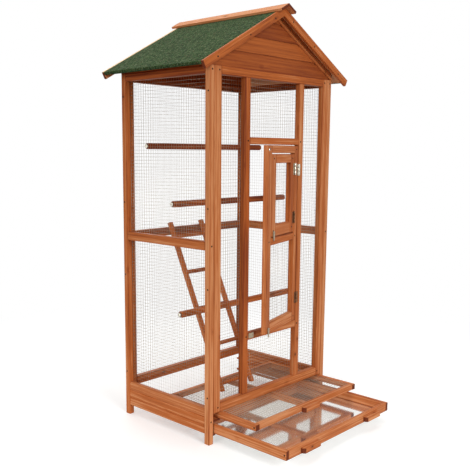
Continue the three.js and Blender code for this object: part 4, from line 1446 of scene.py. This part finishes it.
# Nails and washers
HEAD_SIDES = 10
HEAD_TOP = 0.6
HEAD_RISE = 0.3
FORWARDS = (0, -1, 0)
BACKWARDS = (0, 1, 0)


def nail_tree():
    """Geometry nodes for nail heads: a low dome on each point, turned the way that the point faces"""
    tree, given = begun("Nail Heads", Geometry=["Places"], Float=["Radius"], Material=["Finish"])
    radius = Sum(tree, given["Radius"])
    facing = tree.node("GeometryNodeInputNamedAttribute", {"Name": "facing"}, data_type="FLOAT_VECTOR")
    inputs = {"Vector": facing.outputs["Attribute"]}
    turn = tree.node("FunctionNodeAlignRotationToVector", inputs, axis="Z").outputs[0]
    inputs = {
        "Vertices": HEAD_SIDES, "Radius Top": radius * HEAD_TOP, "Radius Bottom": radius,
        "Depth": radius * HEAD_RISE,
    }
    head = tree.node("GeometryNodeMeshCone", inputs).outputs[0]
    inputs = {"Points": given["Places"], "Instance": head, "Rotation": turn}
    driven = tree.node("GeometryNodeInstanceOnPoints", inputs).outputs[0]
    return ended(tree, driven, given["Finish"])


class AVIARY_OT_nails(bpy.types.Operator):
    """Drive the nails at the joints of the battens, each a point and the way that it faces"""

    bl_idname = "aviary.nails"
    bl_label = "Nails"
    PANEL_HEIGHTS = (0.176, 0.571, 0.854, 1.251)
    PANEL_DEPTH = 0.009
    BARGE_SHARES = (0.14, 0.46, 0.85)
    RING_INSET = 0.008

    def execute(self, context):
        group = nail_tree()
        self.drive(group, "frame_nails", "frame", self.cage_nails() + self.roof_nails(), HERE)
        self.drive(group, "door_nails", "main_door", self.door_nails(), MAIN_DOOR)
        self.drive(group, "small_door_nails", "small_door", self.small_door_nails(), SMALL_DOOR)
        self.drive(group, "rack_nails", "wire_rack", self.ring_nails("rack_frame", "rack_net"), HERE)
        self.drive(group, "tray_nails", "litter_tray", self.ring_nails("tray_frame", "tray_sheet"), HERE)
        return {"FINISHED"}

    def drive(self, group, name, body, nails, place):
        points = bpy.data.meshes.new(f"{name}_places")
        points.from_pydata([place @ Vector(point) for point, _ in nails], [], [])
        turn = place.to_3x3()
        facing = points.attributes.new("facing", "FLOAT_VECTOR", "POINT")
        for item, (_, way) in zip(facing.data, nails):
            item.vector = turn @ Vector(way)
        inputs = {"Radius": fixings().nail_radius, "Finish": material("nail")}
        dressed(grown(name, group, inputs, points), body, "hardware")

    def cage_nails(self):
        nails = []
        middle = LEG_WIDTH / 2
        for x, way in ((LEFT, -1), (RIGHT, 1)):
            for y in (FRONT + self.PANEL_DEPTH, BACK - self.PANEL_DEPTH):
                nails += [((x, y, z), (way, 0, 0)) for z in self.PANEL_HEIGHTS]
            for node in ("left_base_board", "left_mid_rail", "left_top_rail"):
                for y, facing in ((FRONT, FORWARDS), (BACK, BACKWARDS)):
                    nails.append(((x - way * middle, y, centre(node).z), facing))
        front_rails = ("head_rail", "sill_rail", "front_top_rail", "front_bottom_rail")
        return nails + self.rail_nails(front_rails, middle, HERE)

    def rail_nails(self, rails, reach, within):
        """Nails beside both ends of each rail, through the front of what it ends on"""
        nails = []
        for node in rails:
            low, high = span(node, within)
            for x in (low.x - reach, high.x + reach):
                nails.append(((x, low.y, (low.z + high.z) / 2), FORWARDS))
        return nails

    def roof_nails(self):
        nails = []
        low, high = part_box("front_bargeboards")
        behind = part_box("back_bargeboards")[1].y
        edge = high.x / math.cos(roof().pitch)
        for side in (-1, 1):
            for share in self.BARGE_SHARES:
                place = slope(side) @ Vector((edge * share, 0, -AVIARY_OT_bargeboards.BARGE_WIDTH / 2))
                for y, facing in ((low.y, FORWARDS), (behind, BACKWARDS)):
                    nails.append(((place.x, y, place.z), facing))
        return nails

    def door_nails(self):
        low, high = span("door_free_stile", MAIN_DOOR)
        return self.rail_nails(DOOR_RAILS, (high.x - low.x) / 2, MAIN_DOOR)

    def small_door_nails(self):
        low, high = small_door_span()
        window_low, window_high = small_window()
        half = (window_low.x - low.x) / 2
        heights = ((low.z + window_low.z) / 2, (window_high.z + high.z) / 2)
        return [((x, low.y, z), FORWARDS) for x in (low.x + half, high.x - half) for z in heights]

    def ring_nails(self, frame_node, inner_node):
        """Nails through the sides of a ring of boards into its front and back boards"""
        low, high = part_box(frame_node)
        inner_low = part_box(inner_node)[0]
        front = inner_low.y - (inner_low.x - low.x)
        height = centre(frame_node).z
        nails = []
        for x, way in ((low.x, -1), (high.x, 1)):
            for y in (front + self.RING_INSET, high.y - self.RING_INSET):
                nails.append(((x, y, height), (way, 0, 0)))
        return nails


class AVIARY_OT_perch_screws(bpy.types.Operator):
    """Fit the washers and screws that hold the perches through the side nets"""

    bl_idname = "aviary.perch_screws"
    bl_label = "Perch screws"
    THICKNESS = 0.0012
    WASHER_SIDES = 28
    SCREW_RADIUS = 0.0036
    SCREW_RISE = 0.0018

    def execute(self, context):
        piece = Piece("perch_screws", ["plate", "nail"])
        for side, node in ((-1, "left_net"), (1, "right_net")):
            low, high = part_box(node)
            outside = max(low.x * side, high.x * side) * side
            for perch in PERCHES:
                place = at(outside, *centre(perch).yz)
                place = place @ Matrix.Rotation(side * QUARTER, 4, "Y")
                piece.rod(fixings().washer_radius, 0, self.THICKNESS, place, self.WASHER_SIDES)
                head = place @ at(0, 0, self.THICKNESS)
                piece.screw(head, self.SCREW_RADIUS, self.SCREW_RISE)
        piece.finish("frame", "hardware")
        return {"FINISHED"}


# Stage
class AVIARY_OT_stage(bpy.types.Operator):
    """Set up the pale floor, the soft lamps, the white background and the camera"""

    bl_idname = "aviary.stage"
    bl_label = "Stage"
    CAMERA_PLACE = (-2.06118, -1.76015, 1.04716)
    CAMERA_YAW = math.radians(-46.675)
    CAMERA_PITCH = math.radians(8.612)
    CAMERA_ROLL = math.radians(0.36)
    PICTURE = 470
    FOCAL_PIXELS = 699.82
    CENTRE_PIXEL = (222.144, 258.136)
    SENSOR = 36.0
    # Each lamp's place, power and size. All of them aim at the middle of the cage.
    LAMPS = {
        "key_lamp": ((-1.2, -4.3, 2.3), 115, 2.0),
        "side_lamp": ((-4.1, -0.5, 1.6), 52, 1.2),
        "top_lamp": ((0.2, 0.4, 4.4), 55, 3.0),
        "back_lamp": ((1.6, 3.8, 2.2), 55, 2.4),
    }
    AIM = Vector((0, 0, 0.7))
    FLOOR_REACH = 30
    FADE_START = 0.35
    EVEN_LIGHT = 0.42

    def execute(self, context):
        context.scene.view_settings.view_transform = "Standard"
        self.camera(context.scene)
        self.floor()
        self.world(context.scene)
        for name, (place, power, size) in self.LAMPS.items():
            self.lamp(name, place, power, size)
        return {"FINISHED"}

    def camera(self, scene):
        """The camera stands and looks as the photograph's did"""
        data = bpy.data.cameras.new("camera")
        data.sensor_width = self.SENSOR
        data.lens = self.SENSOR * self.FOCAL_PIXELS / self.PICTURE
        data.shift_x = (self.PICTURE / 2 - self.CENTRE_PIXEL[0]) / self.PICTURE
        data.shift_y = (self.CENTRE_PIXEL[1] - self.PICTURE / 2) / self.PICTURE
        level = Matrix.Rotation(self.CAMERA_YAW, 4, "Z") @ FACE_UP
        tilt = Matrix.Rotation(-self.CAMERA_PITCH, 4, "X") @ Matrix.Rotation(self.CAMERA_ROLL, 4, "Z")
        camera = added("camera", data)
        camera.matrix_world = Matrix.Translation(self.CAMERA_PLACE) @ level @ tilt
        scene.camera = camera

    def seen(self, tree):
        """1 where the camera sees something itself or through a reflection, and 0 elsewhere"""
        path = tree.node("ShaderNodeLightPath").outputs
        rays = [Sum(tree, path[name]) for name in ("Is Camera Ray", "Is Glossy Ray", "Is Transmission Ray")]
        return (rays[0] + rays[1] + rays[2]).math("MINIMUM", 1)

    def floor(self):
        """A pale floor that keeps the shadow and fades to white further out"""
        finish = Finish("studio_floor")
        settings = studio()
        radius = settings.floor_radius
        x, y, _ = finish.parts(finish.object_place())
        far = ((x * x + y * y) ** 0.5).between(radius * self.FADE_START, radius)
        white, black = (1, 1, 1), (0, 0, 0)
        given_off = finish.mix(far, settings.floor_fill, white)
        finish.set(
            Base_Color=finish.mix(far, settings.floor, black),
            Roughness=0.9,
            Specular_IOR_Level=0.0,
            Emission_Color=finish.mix(self.seen(finish), black, given_off),
            Emission_Strength=1.0,
        )
        mesh = bpy.data.meshes.new("studio_floor")
        reach = self.FLOOR_REACH
        corners = [(-reach, -reach, 0), (reach, -reach, 0), (reach, reach, 0), (-reach, reach, 0)]
        mesh.from_pydata(corners, [], [(0, 1, 2, 3)])
        mesh.materials.append(finish.material)
        added("studio_floor", mesh)

    def world(self, scene):
        """White where the camera sees it, and an even, dimmer light everywhere else"""
        world = bpy.data.worlds.new("studio")
        world.use_nodes = True
        scene.world = world
        tree = Tree(world.node_tree)
        strength = self.seen(tree) * (1 - self.EVEN_LIGHT) + self.EVEN_LIGHT
        background = tree.node("ShaderNodeBackground", {"Color": (1, 1, 1), "Strength": strength})
        tree.node("ShaderNodeOutputWorld", {"Surface": background.outputs[0]})

    def lamp(self, name, place, power, size):
        data = bpy.data.lights.new(name, "AREA")
        data.energy = power
        data.size = size
        turn = (self.AIM - Vector(place)).to_track_quat("-Z", "Y").to_matrix().to_4x4()
        added(name, data).matrix_world = Matrix.Translation(place) @ turn


class AVIARY_PT_panel(bpy.types.Panel):
    """The aviary's sizes, colours and pieces"""

    bl_idname = "AVIARY_PT_panel"
    bl_label = "Bird Aviary"
    bl_space_type = "VIEW_3D"
    bl_region_type = "UI"
    bl_category = "Aviary"

    def draw(self, context):
        for name in GROUPS:
            box = self.layout.box()
            group = getattr(context.scene, name)
            for setting in group.__annotations__:
                box.prop(group, setting)
        for operator in OPERATORS:
            self.layout.operator(operator.bl_idname)


GROUPS = {
    "aviary_timber": TimberSettings,
    "aviary_nets": NetSettings,
    "aviary_roof": RoofSettings,
    "aviary_fixings": FixingSettings,
    "aviary_studio": StageSettings,
}
OPERATORS = (
    AVIARY_OT_stage,
    AVIARY_OT_cage_frame,
    AVIARY_OT_base_boards,
    AVIARY_OT_gables,
    AVIARY_OT_roof_boards,
    AVIARY_OT_roof_felt,
    AVIARY_OT_bargeboards,
    AVIARY_OT_perches,
    AVIARY_OT_ladder,
    AVIARY_OT_wire_rack,
    AVIARY_OT_litter_tray,
    AVIARY_OT_main_door,
    AVIARY_OT_small_door,
    AVIARY_OT_hinges,
    AVIARY_OT_latches,
    AVIARY_OT_nets,
    AVIARY_OT_nails,
    AVIARY_OT_perch_screws,
)


def register():
    for item in (*GROUPS.values(), *OPERATORS, AVIARY_PT_panel):
        bpy.utils.register_class(item)
    for name, group in GROUPS.items():
        setattr(bpy.types.Scene, name, PointerProperty(type=group))


def unregister():
    for name in GROUPS:
        delattr(bpy.types.Scene, name)
    for item in reversed((*GROUPS.values(), *OPERATORS, AVIARY_PT_panel)):
        bpy.utils.unregister_class(item)


def main():
    register()
    for operator in OPERATORS:
        getattr(bpy.ops.aviary, operator.bl_idname.split(".")[1])()
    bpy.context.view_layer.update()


if __name__ == "__main__":
    main()
